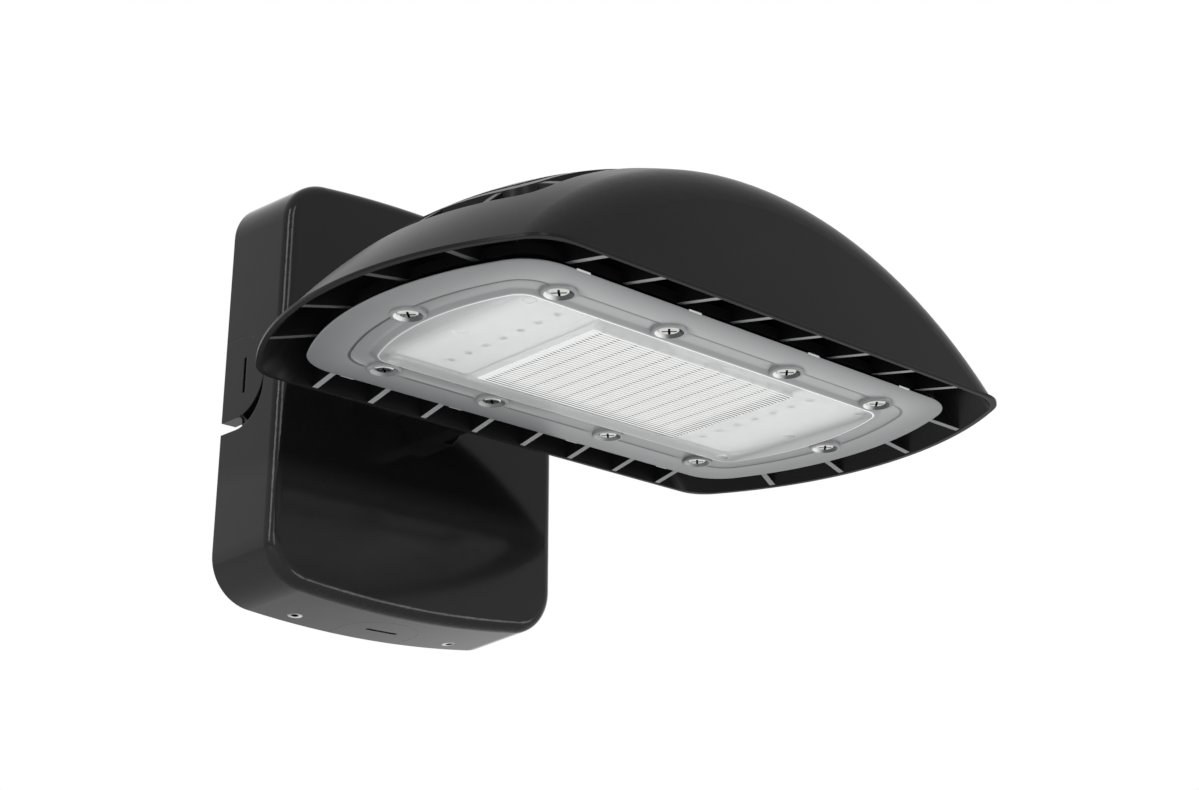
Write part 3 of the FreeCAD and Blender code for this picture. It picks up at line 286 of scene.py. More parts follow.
def black_oxide_steel():
    """Oiled black oxide on machined steel."""
    material, tree, shader, place = new_material("black_oxide_steel", 0.35, 1.0)
    patches = add_node(tree, "ShaderNodeTexNoise", {"Scale": 1 / OXIDE_PATCH, "Detail": 3.0}, {"Vector": place})
    oxide = add_node(tree, "ShaderNodeMix", {"A": colour("#1e1f22"), "B": colour("#33353a")}, {"Factor": patches},
                     data_type="RGBA")
    gloss = add_node(tree, "ShaderNodeMapRange", {"To Min": 0.28, "To Max": 0.45}, {"Value": patches})
    grain = add_node(tree, "ShaderNodeTexNoise", {"Scale": 1 / OXIDE_GRAIN, "Detail": 3.0}, {"Vector": place})
    bumps = add_node(tree, "ShaderNodeBump", {"Strength": 0.3, "Distance": OXIDE_DEPTH}, {"Height": grain})
    feed(tree, shader, {"Base Color": oxide, "Roughness": gloss, "Normal": bumps})
    return material


dress(black_oxide_steel(), "pivot_bolt", "pivot_nut", "pivot_washers", "tongue_screws")

# Grommets and seals: moulded black rubber, pushed into their holes or grooves.
# The grommets guard the wires, and the seals close the driver chamber and the lens.
# Rubber is dull, with a slight bloom.

BLOOM_PATCH = 4 * MM
RUBBER_GRAIN = 0.7 * MM
RUBBER_DEPTH = 0.03 * MM


def moulded_rubber():
    """Dull black rubber with a grey bloom."""
    material, tree, shader, place = new_material("moulded_rubber", 0.7)
    bloom = add_node(tree, "ShaderNodeTexNoise", {"Scale": 1 / BLOOM_PATCH, "Detail": 3.0}, {"Vector": place})
    rubber = add_node(tree, "ShaderNodeMix", {"A": colour("#101010"), "B": colour("#1e1e1e")}, {"Factor": bloom},
                      data_type="RGBA")
    gloss = add_node(tree, "ShaderNodeMapRange", {"To Min": 0.6, "To Max": 0.8}, {"Value": bloom})
    grain = add_node(tree, "ShaderNodeTexNoise", {"Scale": 1 / RUBBER_GRAIN, "Detail": 3.0}, {"Vector": place})
    bumps = add_node(tree, "ShaderNodeBump", {"Strength": 0.3, "Distance": RUBBER_DEPTH}, {"Height": grain})
    feed(tree, shader, {"Base Color": rubber, "Roughness": gloss, "Normal": bumps})
    return material


dress(moulded_rubber(), "arm_grommet", "head_grommet", "cap_seal", "lens_seal")

# Head casting and driver cap: one finned die casting with a separate cap over the driver chamber.
# Both are powder coated black; the cap is screwed on from below.
# The fins' lower edges are trimmed after coating, so they are paler than the rest, and painted darker as shade at
# the left end.

rim_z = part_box("head_casting")[0].z
FIN_FOOT = 0.1 * MM
FLOOR_HEIGHT = 4.6 * MM
SHADED_FINS_TO = -112 * MM
HEAD_COAT_IOR = 1.165
HEAD_SMOOTHEST = 0.22
fin_heights = (rim_z + FIN_FOOT, rim_z + FLOOR_HEIGHT - FIN_FOOT)
dress(powder_coat("trimmed_powder_coat", HEAD_COAT_IOR, HEAD_SMOOTHEST, "#131314", "#18181a", fin_heights,
                  SHADED_FINS_TO), "head_casting", "driver_cap")

# Driver: the power supply of the light board, potted in a moulded ABS case.
# Two screws through its tabs hold it on the heat sink floor, under the cap.
# ABS comes out of a spark-eroded mould with a fine matt grain.

SPARK_GRAIN = 0.5 * MM
SPARK_DEPTH = 0.05 * MM


def moulded_abs():
    """Black ABS with a spark-eroded grain."""
    material, tree, shader, place = new_material("moulded_abs", 0.55)
    sparks = add_node(tree, "ShaderNodeTexNoise", {"Scale": 1 / SPARK_GRAIN, "Detail": 5.0}, {"Vector": place})
    case = add_node(tree, "ShaderNodeMix", {"A": colour("#17181a"), "B": colour("#26282b")}, {"Factor": sparks},
                    data_type="RGBA")
    gloss = add_node(tree, "ShaderNodeMapRange", {"To Min": 0.45, "To Max": 0.65}, {"Value": sparks})
    bumps = add_node(tree, "ShaderNodeBump", {"Strength": 0.5, "Distance": SPARK_DEPTH}, {"Height": sparks})
    feed(tree, shader, {"Base Color": case, "Roughness": gloss, "Normal": bumps})
    return material


dress(moulded_abs(), "driver")

# Light board and its screws: an aluminium circuit board under the heat sink floor, with a white solder mask.
# Mask and white-lacquered screw heads reflect the light of the chips out through the window.
# Printed ink is a soft white that thins a little over the copper beneath it.

TRACK_PITCH = 9 * MM
TRACK_DEPTH = 0.03 * MM


def white_solder_mask():
    """White ink over copper tracks about 5 mm wide."""
    material, tree, shader, place = new_material("white_solder_mask", 0.45)
    tracks = add_node(tree, "ShaderNodeTexVoronoi", {"Scale": 1 / TRACK_PITCH}, {"Vector": place},
                      distance="MANHATTAN")
    ink = add_node(tree, "ShaderNodeMix", {"A": colour("#f3f4f3"), "B": colour("#eceeed")}, {"Factor": tracks},
                   data_type="RGBA")
    gloss = add_node(tree, "ShaderNodeMapRange", {"To Min": 0.4, "To Max": 0.5}, {"Value": tracks})
    bumps = add_node(tree, "ShaderNodeBump", {"Strength": 0.1, "Distance": TRACK_DEPTH}, {"Height": tracks})
    feed(tree, shader, {"Base Color": ink, "Roughness": gloss, "Normal": bumps})
    return material


dress(white_solder_mask(), "light_board", "board_screws")

# Light chips: small domes of clear silicone over a phosphor, soldered on the board in rows.
# Twelve columns lie behind the prismatic panel and one at each end of the board.
# Unlit, a dome is a soft grey spot that fades into the white around it.

chip_low, chip_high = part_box("light_chips")
chip_middle = (chip_low + chip_high) / 2
CHIP_ROWS = 7
CHIP_COLUMNS = 12
CHIP_SIZE = 3.5 * MM
COLUMN_PITCH = 8.6 * MM
DOME_RINGS = 4
DOME_SIDES = 20
PHOSPHOR_GRAIN = 0.5 * MM
SHARP_EDGE = math.radians(35)


def bridge(mesh, near, far):
    """Quads between two closed rings of as many points."""
    for k in range(len(near)):
        after = (k + 1) % len(near)
        mesh.faces.new((near[k], near[after], far[after], far[k]))


def add_dome(mesh, fade, centre, radius, height):
    """A flat-based dome under a centre; fade is 0 at its crown and 1 at its foot."""
    rings = []
    for i in range(1, DOME_RINGS + 1):
        angle = math.pi / 2 * i / DOME_RINGS
        ring = []
        for k in range(DOME_SIDES):
            turn = 2 * math.pi * k / DOME_SIDES
            spot = mesh.verts.new(centre + Vector((radius * math.sin(angle) * math.cos(turn),
                                                   radius * math.sin(angle) * math.sin(turn),
                                                   -height * math.cos(angle))))
            spot[fade] = i / DOME_RINGS
            ring.append(spot)
        rings.append(ring)
    crown = mesh.verts.new(centre - Vector((0, 0, height)))
    for k in range(DOME_SIDES):
        mesh.faces.new((crown, rings[0][(k + 1) % DOME_SIDES], rings[0][k]))
    for near, far in zip(rings, rings[1:]):
        bridge(mesh, near, far)
    mesh.faces.new(rings[-1])


def as_object(name, mesh, material):
    """An object in the scene from a finished mesh."""
    bmesh.ops.recalc_face_normals(mesh, faces=mesh.faces)
    data = bpy.data.meshes.new(name)
    mesh.to_mesh(data)
    mesh.free()
    data.materials.append(material)
    made = bpy.data.objects.new(name, data)
    bpy.context.scene.collection.objects.link(made)
    return made


def smooth(piece, sharpest):
    """Smooth shading, apart from edges sharper than an angle."""
    piece.data.shade_smooth()
    piece.data.set_sharp_from_angle(angle=sharpest)


def new_piece(name, mesh, body, material, node):
    """A piece on its body, in place of a CAD node."""
    piece = as_object(name, mesh, material)
    smooth(piece, SHARP_EDGE)
    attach(piece, body)
    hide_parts(node)
    return piece


def chip_phosphor():
    """Pale phosphor under silicone, greyest at the crown."""
    material, tree, shader, place = new_material("chip_phosphor", 0.3)
    fade = add_node(tree, "ShaderNodeAttribute", attribute_name="fade").outputs["Fac"]
    dome = add_node(tree, "ShaderNodeMix", {"A": colour("#3f403e"), "B": colour("#d9dad9")}, {"Factor": fade},
                    data_type="RGBA")
    grain = add_node(tree, "ShaderNodeTexNoise", {"Scale": 1 / PHOSPHOR_GRAIN, "Detail": 3.0}, {"Vector": place})
    gloss = add_node(tree, "ShaderNodeMapRange", {"To Min": 0.25, "To Max": 0.4}, {"Value": grain})
    feed(tree, shader, {"Base Color": dome, "Roughness": gloss})
    return material


chips = bmesh.new()
chip_fade = chips.verts.layers.float.new("fade")
row_pitch = (chip_high.y - chip_low.y - CHIP_SIZE) / (CHIP_ROWS - 1)
end_column = (chip_high.x - chip_low.x - CHIP_SIZE) / 2
chip_xs = [COLUMN_PITCH * (i - (CHIP_COLUMNS - 1) / 2) for i in range(CHIP_COLUMNS)] + [-end_column, end_column]
for chip_x in chip_xs:
    for row in range(CHIP_ROWS):
        chip_y = chip_middle.y + row_pitch * (row - (CHIP_ROWS - 1) / 2)
        add_dome(chips, chip_fade, Vector((chip_x, chip_y, chip_high.z)), CHIP_SIZE / 2, chip_high.z - chip_low.z)
new_piece("chip_domes", chips, "head", chip_phosphor(), "light_chips")

# Optic rails: two L-shaped strips of white polycarbonate along the panel's long sides.
# The light board presses them on the panel's ledge.
# Moulded pale plastic is slightly glossy, and its right end lies in shadow behind the window.

RAIL_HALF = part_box("optic_rails")[1].x
SHADOW_FROM = RAIL_HALF - 8 * MM
SHADOW_FULL = RAIL_HALF - 1 * MM
FLOW_MARK = 12 * MM
RAIL_GRAIN = 0.6 * MM
RAIL_DEPTH = 0.02 * MM


def white_polycarbonate():
    """Moulded pale plastic with faint flow marks, in shadow at its right end."""
    material, tree, shader, place = new_material("white_polycarbonate", 0.35)
    flow = add_node(tree, "ShaderNodeTexNoise", {"Scale": 1 / FLOW_MARK, "Detail": 3.0}, {"Vector": place})
    pale = add_node(tree, "ShaderNodeMix", {"A": colour("#b3b5b6"), "B": colour("#bfc1c1")}, {"Factor": flow},
                    data_type="RGBA")
    spot = add_node(tree, "ShaderNodeSeparateXYZ", links={"Vector": place})
    shadow = add_node(tree, "ShaderNodeMapRange", {"From Min": SHADOW_FROM, "From Max": SHADOW_FULL},
                      {"Value": spot.outputs["X"]}, interpolation_type="SMOOTHSTEP")
    strip = add_node(tree, "ShaderNodeMix", {"B": colour("#3c3e3f")}, {"Factor": shadow, "A": pale},
                     data_type="RGBA")
    gloss = add_node(tree, "ShaderNodeMapRange", {"To Min": 0.28, "To Max": 0.42}, {"Value": flow})
    grain = add_node(tree, "ShaderNodeTexNoise", {"Scale": 1 / RAIL_GRAIN, "Detail": 3.0}, {"Vector": place})
    bumps = add_node(tree, "ShaderNodeBump", {"Strength": 0.2, "Distance": RAIL_DEPTH}, {"Height": grain})
    feed(tree, shader, {"Base Color": strip, "Roughness": gloss, "Normal": bumps})
    return material


dress(white_polycarbonate(), "optic_rails")

# Prismatic panel: a sheet of clear acrylic, hot pressed with ribs along its length, flush in the window.
# A ledge and the rails hold it from behind; each rib draws the chips behind it out into short dark dashes, here
# painted on.
# The real ribs are about 1.4 mm wide; they are drawn wider, so that they show in a picture.

optic_low, optic_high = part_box("optic_panel")
OPTIC_LEDGE = 2.5 * MM
OPTIC_LEDGE_THICK = 0.6 * MM
RIB_COUNT = 38
RIB_HEIGHT = 0.45 * MM
RIB_STEPS = 6
VALLEY_SHADE_SHARES = (0.08, 0.3)
DASH_SHARES = (0.1, 0.24)
DASH_LENGTHS = (0.6 * MM, 1.0 * MM)
PLAIN_END = 3.5 * MM
PLAIN_FADE = 1.2
EDGE_SHADE_WIDTH = 10 * MM
PRESS_MARK = 6 * MM
panel_half_x = (optic_high.x - optic_low.x) / 2 - OPTIC_LEDGE
panel_front_y = optic_low.y + OPTIC_LEDGE
panel_rear_y = optic_high.y - OPTIC_LEDGE
rib_pitch = (panel_rear_y - panel_front_y) / RIB_COUNT


def pressed_acrylic():
    """White ribbed acrylic: painted grey shade in its valleys, and a painted dash where a rib crosses a chip column.
    """
    material, tree, shader, place = new_material("pressed_acrylic", 0.2)
    spot = add_node(tree, "ShaderNodeSeparateXYZ", links={"Vector": place})
    rulings = []
    for axis, first_line, pitch in (("Y", panel_front_y, rib_pitch), ("X", COLUMN_PITCH / 2, COLUMN_PITCH)):
        shifted = add_node(tree, "ShaderNodeMath", {1: first_line}, {0: spot.outputs[axis]}, operation="SUBTRACT")
        rulings.append(add_node(tree, "ShaderNodeMath", {1: pitch / 2}, {0: shifted}, operation="PINGPONG"))
    from_valley, from_column = rulings
    bands = []
    for source, full, gone in (
            (from_valley, VALLEY_SHADE_SHARES[0] * rib_pitch, VALLEY_SHADE_SHARES[1] * rib_pitch),
            (from_valley, DASH_SHARES[0] * rib_pitch, DASH_SHARES[1] * rib_pitch),
            (from_column, *DASH_LENGTHS),
            (spot.outputs["Y"], panel_rear_y, panel_rear_y - EDGE_SHADE_WIDTH),
            (spot.outputs["X"], panel_half_x, panel_half_x - EDGE_SHADE_WIDTH),
            (spot.outputs["X"], PLAIN_END - panel_half_x, PLAIN_FADE * PLAIN_END - panel_half_x)):
        bands.append(add_node(tree, "ShaderNodeMapRange",
                              {"From Min": full, "From Max": gone, "To Min": 1.0, "To Max": 0.0}, {"Value": source},
                              interpolation_type="SMOOTHSTEP"))
    valley_shade, dash_width, dash_length, rear, right, plain = bands
    # Painted shade deepens the valleys near the rear and right edges.
    edge_shade = add_node(tree, "ShaderNodeMath", links={0: rear, 1: right}, operation="MAXIMUM")
    depth = add_node(tree, "ShaderNodeMapRange", {"To Min": 0.7, "To Max": 1.0}, {"Value": edge_shade})
    ruled = add_node(tree, "ShaderNodeMath", links={0: valley_shade, 1: depth}, operation="MULTIPLY")
    ribs = add_node(tree, "ShaderNodeMix", {"A": colour("#f6f6f5"), "B": colour("#95999a")}, {"Factor": ruled},
                    data_type="RGBA")
    dash = add_node(tree, "ShaderNodeMath", links={0: dash_length, 1: dash_width}, operation="MULTIPLY")
    lines = add_node(tree, "ShaderNodeMath", links={0: valley_shade, 1: edge_shade}, operation="MULTIPLY")
    marks = add_node(tree, "ShaderNodeMath", links={0: dash, 1: lines}, operation="MAXIMUM")
    dashed = add_node(tree, "ShaderNodeMix", {"B": colour("#45494b")}, {"Factor": marks, "A": ribs},
                      data_type="RGBA")
    sheet = add_node(tree, "ShaderNodeMix", {"B": colour("#eceded")}, {"Factor": plain, "A": dashed},
                     data_type="RGBA")
    mottle = add_node(tree, "ShaderNodeTexNoise", {"Scale": 1 / PRESS_MARK, "Detail": 3.0}, {"Vector": place})
    gloss = add_node(tree, "ShaderNodeMapRange", {"To Min": 0.14, "To Max": 0.24}, {"Value": mottle})
    feed(tree, shader, {"Base Color": sheet, "Roughness": gloss})
    return material


panel = bmesh.new()
rib_line = []
for i in range(RIB_COUNT * RIB_STEPS + 1):
    rise = abs(math.sin(math.pi * i / RIB_STEPS))
    rib_line.append((panel_front_y + rib_pitch * i / RIB_STEPS, optic_low.z + RIB_HEIGHT * (1 - rise)))
ledge_top = optic_high.z
ledge_foot = optic_high.z - OPTIC_LEDGE_THICK
section = rib_line + [(panel_rear_y, ledge_foot), (optic_high.y, ledge_foot), (optic_high.y, ledge_top),
                      (optic_low.y, ledge_top), (optic_low.y, ledge_foot), (panel_front_y, ledge_foot)]
panel_ends = [[panel.verts.new((x, y, z)) for y, z in section] for x in (-panel_half_x, panel_half_x)]
bridge(panel, *panel_ends)
for end in panel_ends:
    panel.faces.new(end)
new_piece("ribbed_panel", panel, "head", pressed_acrylic(), "optic_panel")

# Lens plate: injection-moulded polycarbonate, frosted on its flange and clear in its raised window.
# Ten screws in collars draw it up on its seal; small lugs on its edge locate it.
# Frosting scatters the light to an even grey, and the clear window shows the white board behind it.

lens_low, lens_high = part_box("lens_plate")
lens_middle = (lens_low + lens_high) / 2
FLAT_STEPS = 14
CORNER_STEPS = 12
END_STEPS = 22
LUG_OUT = 0.4 * MM
CORNER_BY_INSET = ((0.0, 20.0), (15.5, 13.0), (22.1, 11.0), (25.1, 8.0), (34.0, 5.0))
lens_half_x = (lens_high.x - lens_low.x) / 2
lens_half_y = (lens_high.y - lens_low.y) / 2 - LUG_OUT


def corner_radius(inset):
    """The outline's corner, drawn through the pairs of inset and radius."""
    for (a, first), (b, second) in zip(CORNER_BY_INSET, CORNER_BY_INSET[1:]):
        if inset <= b:
            return first + (second - first) * (inset - a) / (b - a)
    return CORNER_BY_INSET[-1][1]


def outline_quarter(inset):
    """A quarter of the lens outline drawn in by an inset in mm: half a flat side, a corner, half an end."""
    corner = corner_radius(inset) * MM
    radius = lens_half_x - inset * MM
    half = lens_half_y - inset * MM
    corner_x = math.sqrt((radius - corner) ** 2 - (half - corner) ** 2)
    meeting = math.atan2(half - corner, corner_x)
    points = [(corner_x * i / FLAT_STEPS, half) for i in range(FLAT_STEPS)]
    for i in range(CORNER_STEPS):
        angle = math.pi / 2 + (meeting - math.pi / 2) * i / CORNER_STEPS
        points.append((corner_x + corner * math.cos(angle), half - corner + corner * math.sin(angle)))
    for i in range(END_STEPS + 1):
        angle = meeting * (1 - i / END_STEPS)
        points.append((radius * math.cos(angle), radius * math.sin(angle)))
    return points


def hole_quarter(half_x, half_y):
    """A quarter of a rectangle, with as many points as a quarter of the outline."""
    last = FLAT_STEPS + CORNER_STEPS + END_STEPS
    bend = FLAT_STEPS + CORNER_STEPS // 2
    points = [(half_x * i / bend, half_y) for i in range(bend)]
    return points + [(half_x, half_y * (last - i) / (last - bend)) for i in range(bend, last + 1)]


def full_ring(quarter):
    """Four mirrored quarters as one closed ring."""
    right_front = quarter
    right_rear = [(x, -y) for x, y in reversed(quarter[:-1])]
    left_rear = [(-x, -y) for x, y in quarter[1:]]
    left_front = [(-x, y) for x, y in reversed(quarter[1:-1])]
    return right_front + right_rear + left_rear + left_front


# The finish reads these kinds from the mesh: painted shade in a groove, frosted skin, milky film, and a clear
# opening.
# Profiles and bands are insets from the outline, with heights above the rim, in mm; painted light is given as a
# share of white.
FROSTED, FILM, OPEN, GROOVE_SHADE = 0.0, 1.0, 2.0, -1.0
FRONT_PROFILE = ((5.0, 1.6), (0.9, 1.55), (0.2, 1.4), (0.0, 1.15), (0.08, 0.96), (0.3, 0.85), (0.8, 0.8),
                 (5.0, 0.8), (10.0, 0.77), (13.6, 0.72), (14.0, 0.73), (14.5, 0.76), (15.3, 0.8), (15.5, 0.9),
                 (15.8, 1.12), (16.3, 1.25), (18.0, 1.4), (20.4, 1.5), (20.9, 1.5), (21.4, 1.4), (22.2, 1.05),
                 (23.8, 0.4), (24.5, 0.14), (24.7, 0.08), (25.2, 0.05), (25.4, 0.05), (27.6, 0.05), (29.4, 0.05))
BACK_PROFILE = ((27.1, 2.05, OPEN), (27.1, 3.8, FROSTED), (5.0, 3.8, FROSTED))
GROOVE_FLOOR = (14.4, 15.4)
SLOPE = (22.0, 24.0)
SLOPE_SHADE = -0.05
# A painted highlight runs along the window's edge.
PAINTED_EDGE_HIGHLIGHT = (24.6, 25.3)
FILM_FROM = 25.3
# Painted light: white grows inwards up to a limit, is weaker where shaded, stronger to the front, weaker at the
# ends.
INWARD_PAINTED_LIGHT = 0.018
PAINTED_LIGHT_LIMIT = 13.5
SHADED_PAINTED_LIGHT = 0.45
SIDE_PAINTED_LIGHT = 0.875
FRONT_LIGHT_GAIN = 0.375
END_LIGHT_LOSS = 0.7
END_FROM = 85 * MM
WINDOW_FACE = 0.05
WINDOW_BACK = 2.05
HOLE_CLEARANCE = 0.2 * MM
lens = bmesh.new()
clear = lens.verts.layers.float.new("clear")
painted_light = lens.verts.layers.float.new("painted_light")


def lens_ring(points, height, see_through, painted_light_share=0.0):
    """A ring of the lens at a height in mm above the rim."""
    ring = []
    for x, y in points:
        vert = lens.verts.new((x, lens_middle.y + y, rim_z + height * MM))
        vert[clear] = see_through
        # Painted light is stronger towards the front and weaker towards the ends.
        endwards = max(0.0, abs(x) - END_FROM) / (lens_half_x - END_FROM)
        side = (SIDE_PAINTED_LIGHT - FRONT_LIGHT_GAIN * y / lens_half_y) * (1 - END_LIGHT_LOSS * endwards)
        vert[painted_light] = min(1.0, painted_light_share * side)
        ring.append(vert)
    return ring


hole = full_ring(hole_quarter(panel_half_x + HOLE_CLEARANCE,
                              (panel_rear_y - panel_front_y) / 2 + HOLE_CLEARANCE))
lens_rings = []
for inset, height in FRONT_PROFILE:
    kind = FILM if inset > FILM_FROM else FROSTED
    if GROOVE_FLOOR[0] < inset < GROOVE_FLOOR[1]:
        kind = GROOVE_SHADE
    if SLOPE[0] < inset < SLOPE[1]:
        kind = SLOPE_SHADE
    painted_light_share = INWARD_PAINTED_LIGHT * min(inset, PAINTED_LIGHT_LIMIT) if inset < PAINTED_EDGE_HIGHLIGHT[0] else float(inset < PAINTED_EDGE_HIGHLIGHT[1])
    if kind < FROSTED:
        painted_light_share *= SHADED_PAINTED_LIGHT
    lens_rings.append(lens_ring(full_ring(outline_quarter(inset)), height, kind, painted_light_share))
lens_rings += [lens_ring(hole, WINDOW_FACE, FILM), lens_ring(hole, WINDOW_BACK, OPEN)]
lens_rings += [lens_ring(full_ring(outline_quarter(inset)), height, kind) for inset, height, kind in BACK_PROFILE]
for near, far in zip(lens_rings, lens_rings[1:] + lens_rings[:1]):
    bridge(lens, near, far)

screw_low, screw_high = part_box("lens_screws")
SCREW_HEAD_RADIUS = 4.0 * MM
ROW_SCREW_X = 30.9 * MM
ROW_END_X = 83.1 * MM
screw_row_y = (screw_high.y - screw_low.y) / 2 - SCREW_HEAD_RADIUS
screw_end_x = (screw_high.x - screw_low.x) / 2 - SCREW_HEAD_RADIUS
screw_places = [(x, side * screw_row_y) for x in (-ROW_END_X, -ROW_SCREW_X, ROW_SCREW_X, ROW_END_X)
                for side in (-1, 1)]
screw_places += [(-screw_end_x, 0.0), (screw_end_x, 0.0)]
COLLAR_PROFILE = ((6.7, 2.3), (6.6, 1.2), (6.55, 0.6), (6.5, 0.1), (6.4, -0.14), (6.2, -0.25), (5.9, -0.3),
                  (3.0, -0.3))
COLLAR_REACH = 6.8 * MM
COLLAR_PAINTED_LIGHT = 0.1
CUP_PROFILE = ((5.75, -0.8), (5.3, -0.3), (4.2, 0.9), (4.2, 2.9), (2.05, 2.9), (2.05, 4.2))
DIMPLE_PROFILE = ((2.7, -0.6), (2.7, 0.0), (2.55, 0.5), (2.2, 0.85))
DIMPLE_REACH = 3.0 * MM
DIMPLE_X = 86.5 * MM
DIMPLE_Y = 38.5 * MM
dimple_places = [(side * DIMPLE_X, y) for side in (-1, 1) for y in (-DIMPLE_Y, 0.0, DIMPLE_Y)]
ROUND_SIDES = 40


def rounds(places, profile):
    """A mesh with a solid of revolution at each place, from pairs of radius and height above the rim in mm."""
    mesh = bmesh.new()
    turns = [2 * math.pi * k / ROUND_SIDES for k in range(ROUND_SIDES)]
    for x, y in places:
        rings = [[mesh.verts.new((x + radius * MM * math.cos(turn), lens_middle.y + y + radius * MM * math.sin(turn),
                                  rim_z + height * MM)) for turn in turns] for radius, height in profile]
        for near, far in zip(rings, rings[1:]):
            bridge(mesh, near, far)
        mesh.faces.new(rings[0])
        mesh.faces.new(rings[-1])
    return mesh


def prisms(places, outline, low, high):
    """A mesh with an upright prism at each place; outline and heights above the rim are in mm."""
    mesh = bmesh.new()
    for x, y in places:
        rings = [[mesh.verts.new((x + a * MM, lens_middle.y + y + b * MM, rim_z + height * MM)) for a, b in outline]
                 for height in (low, high)]
        bridge(mesh, *rings)
        for ring in rings:
            mesh.faces.new(ring)
    return mesh


FROST_PATCH = 35 * MM
FROST_GRAIN = 0.7 * MM
FROST_DEPTH = 0.03 * MM
FILM_GREYS_FROM = 84 * MM
FILM_GREY = 100 * MM
LENS_IOR = 1.58


def moulded_polycarbonate():
    """Frosted grey flange, painted groove shade and light; the window is a milky film that greys towards its ends.
    """
    material, tree, shader, place = new_material("moulded_polycarbonate", 0.3)
    shader.inputs["IOR"].default_value = LENS_IOR
    kind = add_node(tree, "ShaderNodeAttribute", attribute_name="clear").outputs["Fac"]
    painted_light_share = add_node(tree, "ShaderNodeAttribute", attribute_name="painted_light").outputs["Fac"]
    patches = add_node(tree, "ShaderNodeTexNoise", {"Scale": 1 / FROST_PATCH, "Detail": 3.0}, {"Vector": place})
    frosted = add_node(tree, "ShaderNodeMix", {"A": colour("#696b6c"), "B": colour("#767879")},
                       {"Factor": patches}, data_type="RGBA")
    # Painted shade darkens the flange in its groove and, a little, on the slope.
    groove = add_node(tree, "ShaderNodeMath", {1: GROOVE_SHADE}, {0: kind}, operation="MULTIPLY", use_clamp=True)
    flange = add_node(tree, "ShaderNodeMix", {"B": colour("#2e3031")}, {"Factor": groove, "A": frosted},
                      data_type="RGBA")
    spot = add_node(tree, "ShaderNodeSeparateXYZ", links={"Vector": place})
    outwards = add_node(tree, "ShaderNodeMath", links={0: spot.outputs["X"]}, operation="ABSOLUTE")
    ends = add_node(tree, "ShaderNodeMapRange", {"From Min": FILM_GREYS_FROM, "From Max": FILM_GREY},
                    {"Value": outwards}, interpolation_type="SMOOTHSTEP")
    film = add_node(tree, "ShaderNodeMix", {"A": colour("#f4f5f5"), "B": colour("#a5a7a7")}, {"Factor": ends},
                    data_type="RGBA")
    milky = add_node(tree, "ShaderNodeMix", links={"Factor": kind, "A": flange, "B": film}, data_type="RGBA")
    # Painted light: white mixed in by the share set on each vertex.
    skin = add_node(tree, "ShaderNodeMix", {"B": colour("#f4f5f5")}, {"Factor": painted_light_share, "A": milky},
                    data_type="RGBA")
    gloss = add_node(tree, "ShaderNodeMapRange", {"To Min": 0.3, "To Max": 0.16}, {"Value": kind})
    grain = add_node(tree, "ShaderNodeTexNoise", {"Scale": 1 / FROST_GRAIN, "Detail": 4.0}, {"Vector": place})
    bumps = add_node(tree, "ShaderNodeBump", {"Strength": 0.12, "Distance": FROST_DEPTH}, {"Height": grain})
    opacity = add_node(tree, "ShaderNodeMapRange", {"From Max": OPEN, "To Min": 1.0, "To Max": 0.0}, {"Value": kind})
    closed = add_node(tree, "ShaderNodeMath", links={0: opacity, 1: ends}, operation="MAXIMUM")
    feed(tree, shader, {"Base Color": skin, "Roughness": gloss, "Normal": bumps, "Alpha": closed})
    return material


CUP_PAINTED_LIGHT_SIDE = (0.74, -0.67, 0.0)
CUP_MOTTLE = 3 * MM


def cup_painted_reflection():
    """Wall of a screw cup, polished in the mould, with a painted reflection: light to one side, dark to the other.
    """
    material, tree, shader, place = new_material("cup_painted_reflection", 0.12)
    normal = add_node(tree, "ShaderNodeTexCoord").outputs["Normal"]
    facing = add_node(tree, "ShaderNodeVectorMath", {1: CUP_PAINTED_LIGHT_SIDE}, {0: normal}, operation="DOT_PRODUCT")
    side = add_node(tree, "ShaderNodeMapRange", {"From Min": -0.1, "From Max": 0.6}, {"Value": facing},
                    interpolation_type="SMOOTHSTEP")
    painted_reflection = add_node(tree, "ShaderNodeMix", {"A": colour("#3f4142"), "B": colour("#eeefef")}, {"Factor": side},
                        data_type="RGBA")
    spot = add_node(tree, "ShaderNodeSeparateXYZ", links={"Vector": place})
    # The rear row's painted reflection is muted towards grey.
    rear = add_node(tree, "ShaderNodeMapRange",
                    {"From Min": lens_middle.y, "From Max": lens_middle.y + screw_row_y, "To Max": 0.7},
                    {"Value": spot.outputs["Y"]})
    wall = add_node(tree, "ShaderNodeMix", {"B": colour("#6d6f70")}, {"Factor": rear, "A": painted_reflection},
                    data_type="RGBA")
    mottle = add_node(tree, "ShaderNodeTexNoise", {"Scale": 1 / CUP_MOTTLE, "Detail": 3.0}, {"Vector": place})
    gloss = add_node(tree, "ShaderNodeMapRange", {"To Min": 0.08, "To Max": 0.16}, {"Value": mottle})
    feed(tree, shader, {"Base Color": wall, "Roughness": gloss})
    return material


def combine(piece, mesh, material, operation):
    """Joins a mesh to a piece, or cuts it away; its faces keep their own material."""
    tool = as_object("tool", mesh, material)
    step = piece.modifiers.new(operation, "BOOLEAN")
    step.object = tool
    step.operation = operation
    step.solver = "EXACT"
    step.material_mode = "TRANSFER"
    bpy.context.view_layer.update()
    combined = piece.evaluated_get(bpy.context.evaluated_depsgraph_get())
    data = bpy.data.meshes.new_from_object(combined)
    piece.modifiers.clear()
    piece.data = data
    bpy.data.objects.remove(tool)


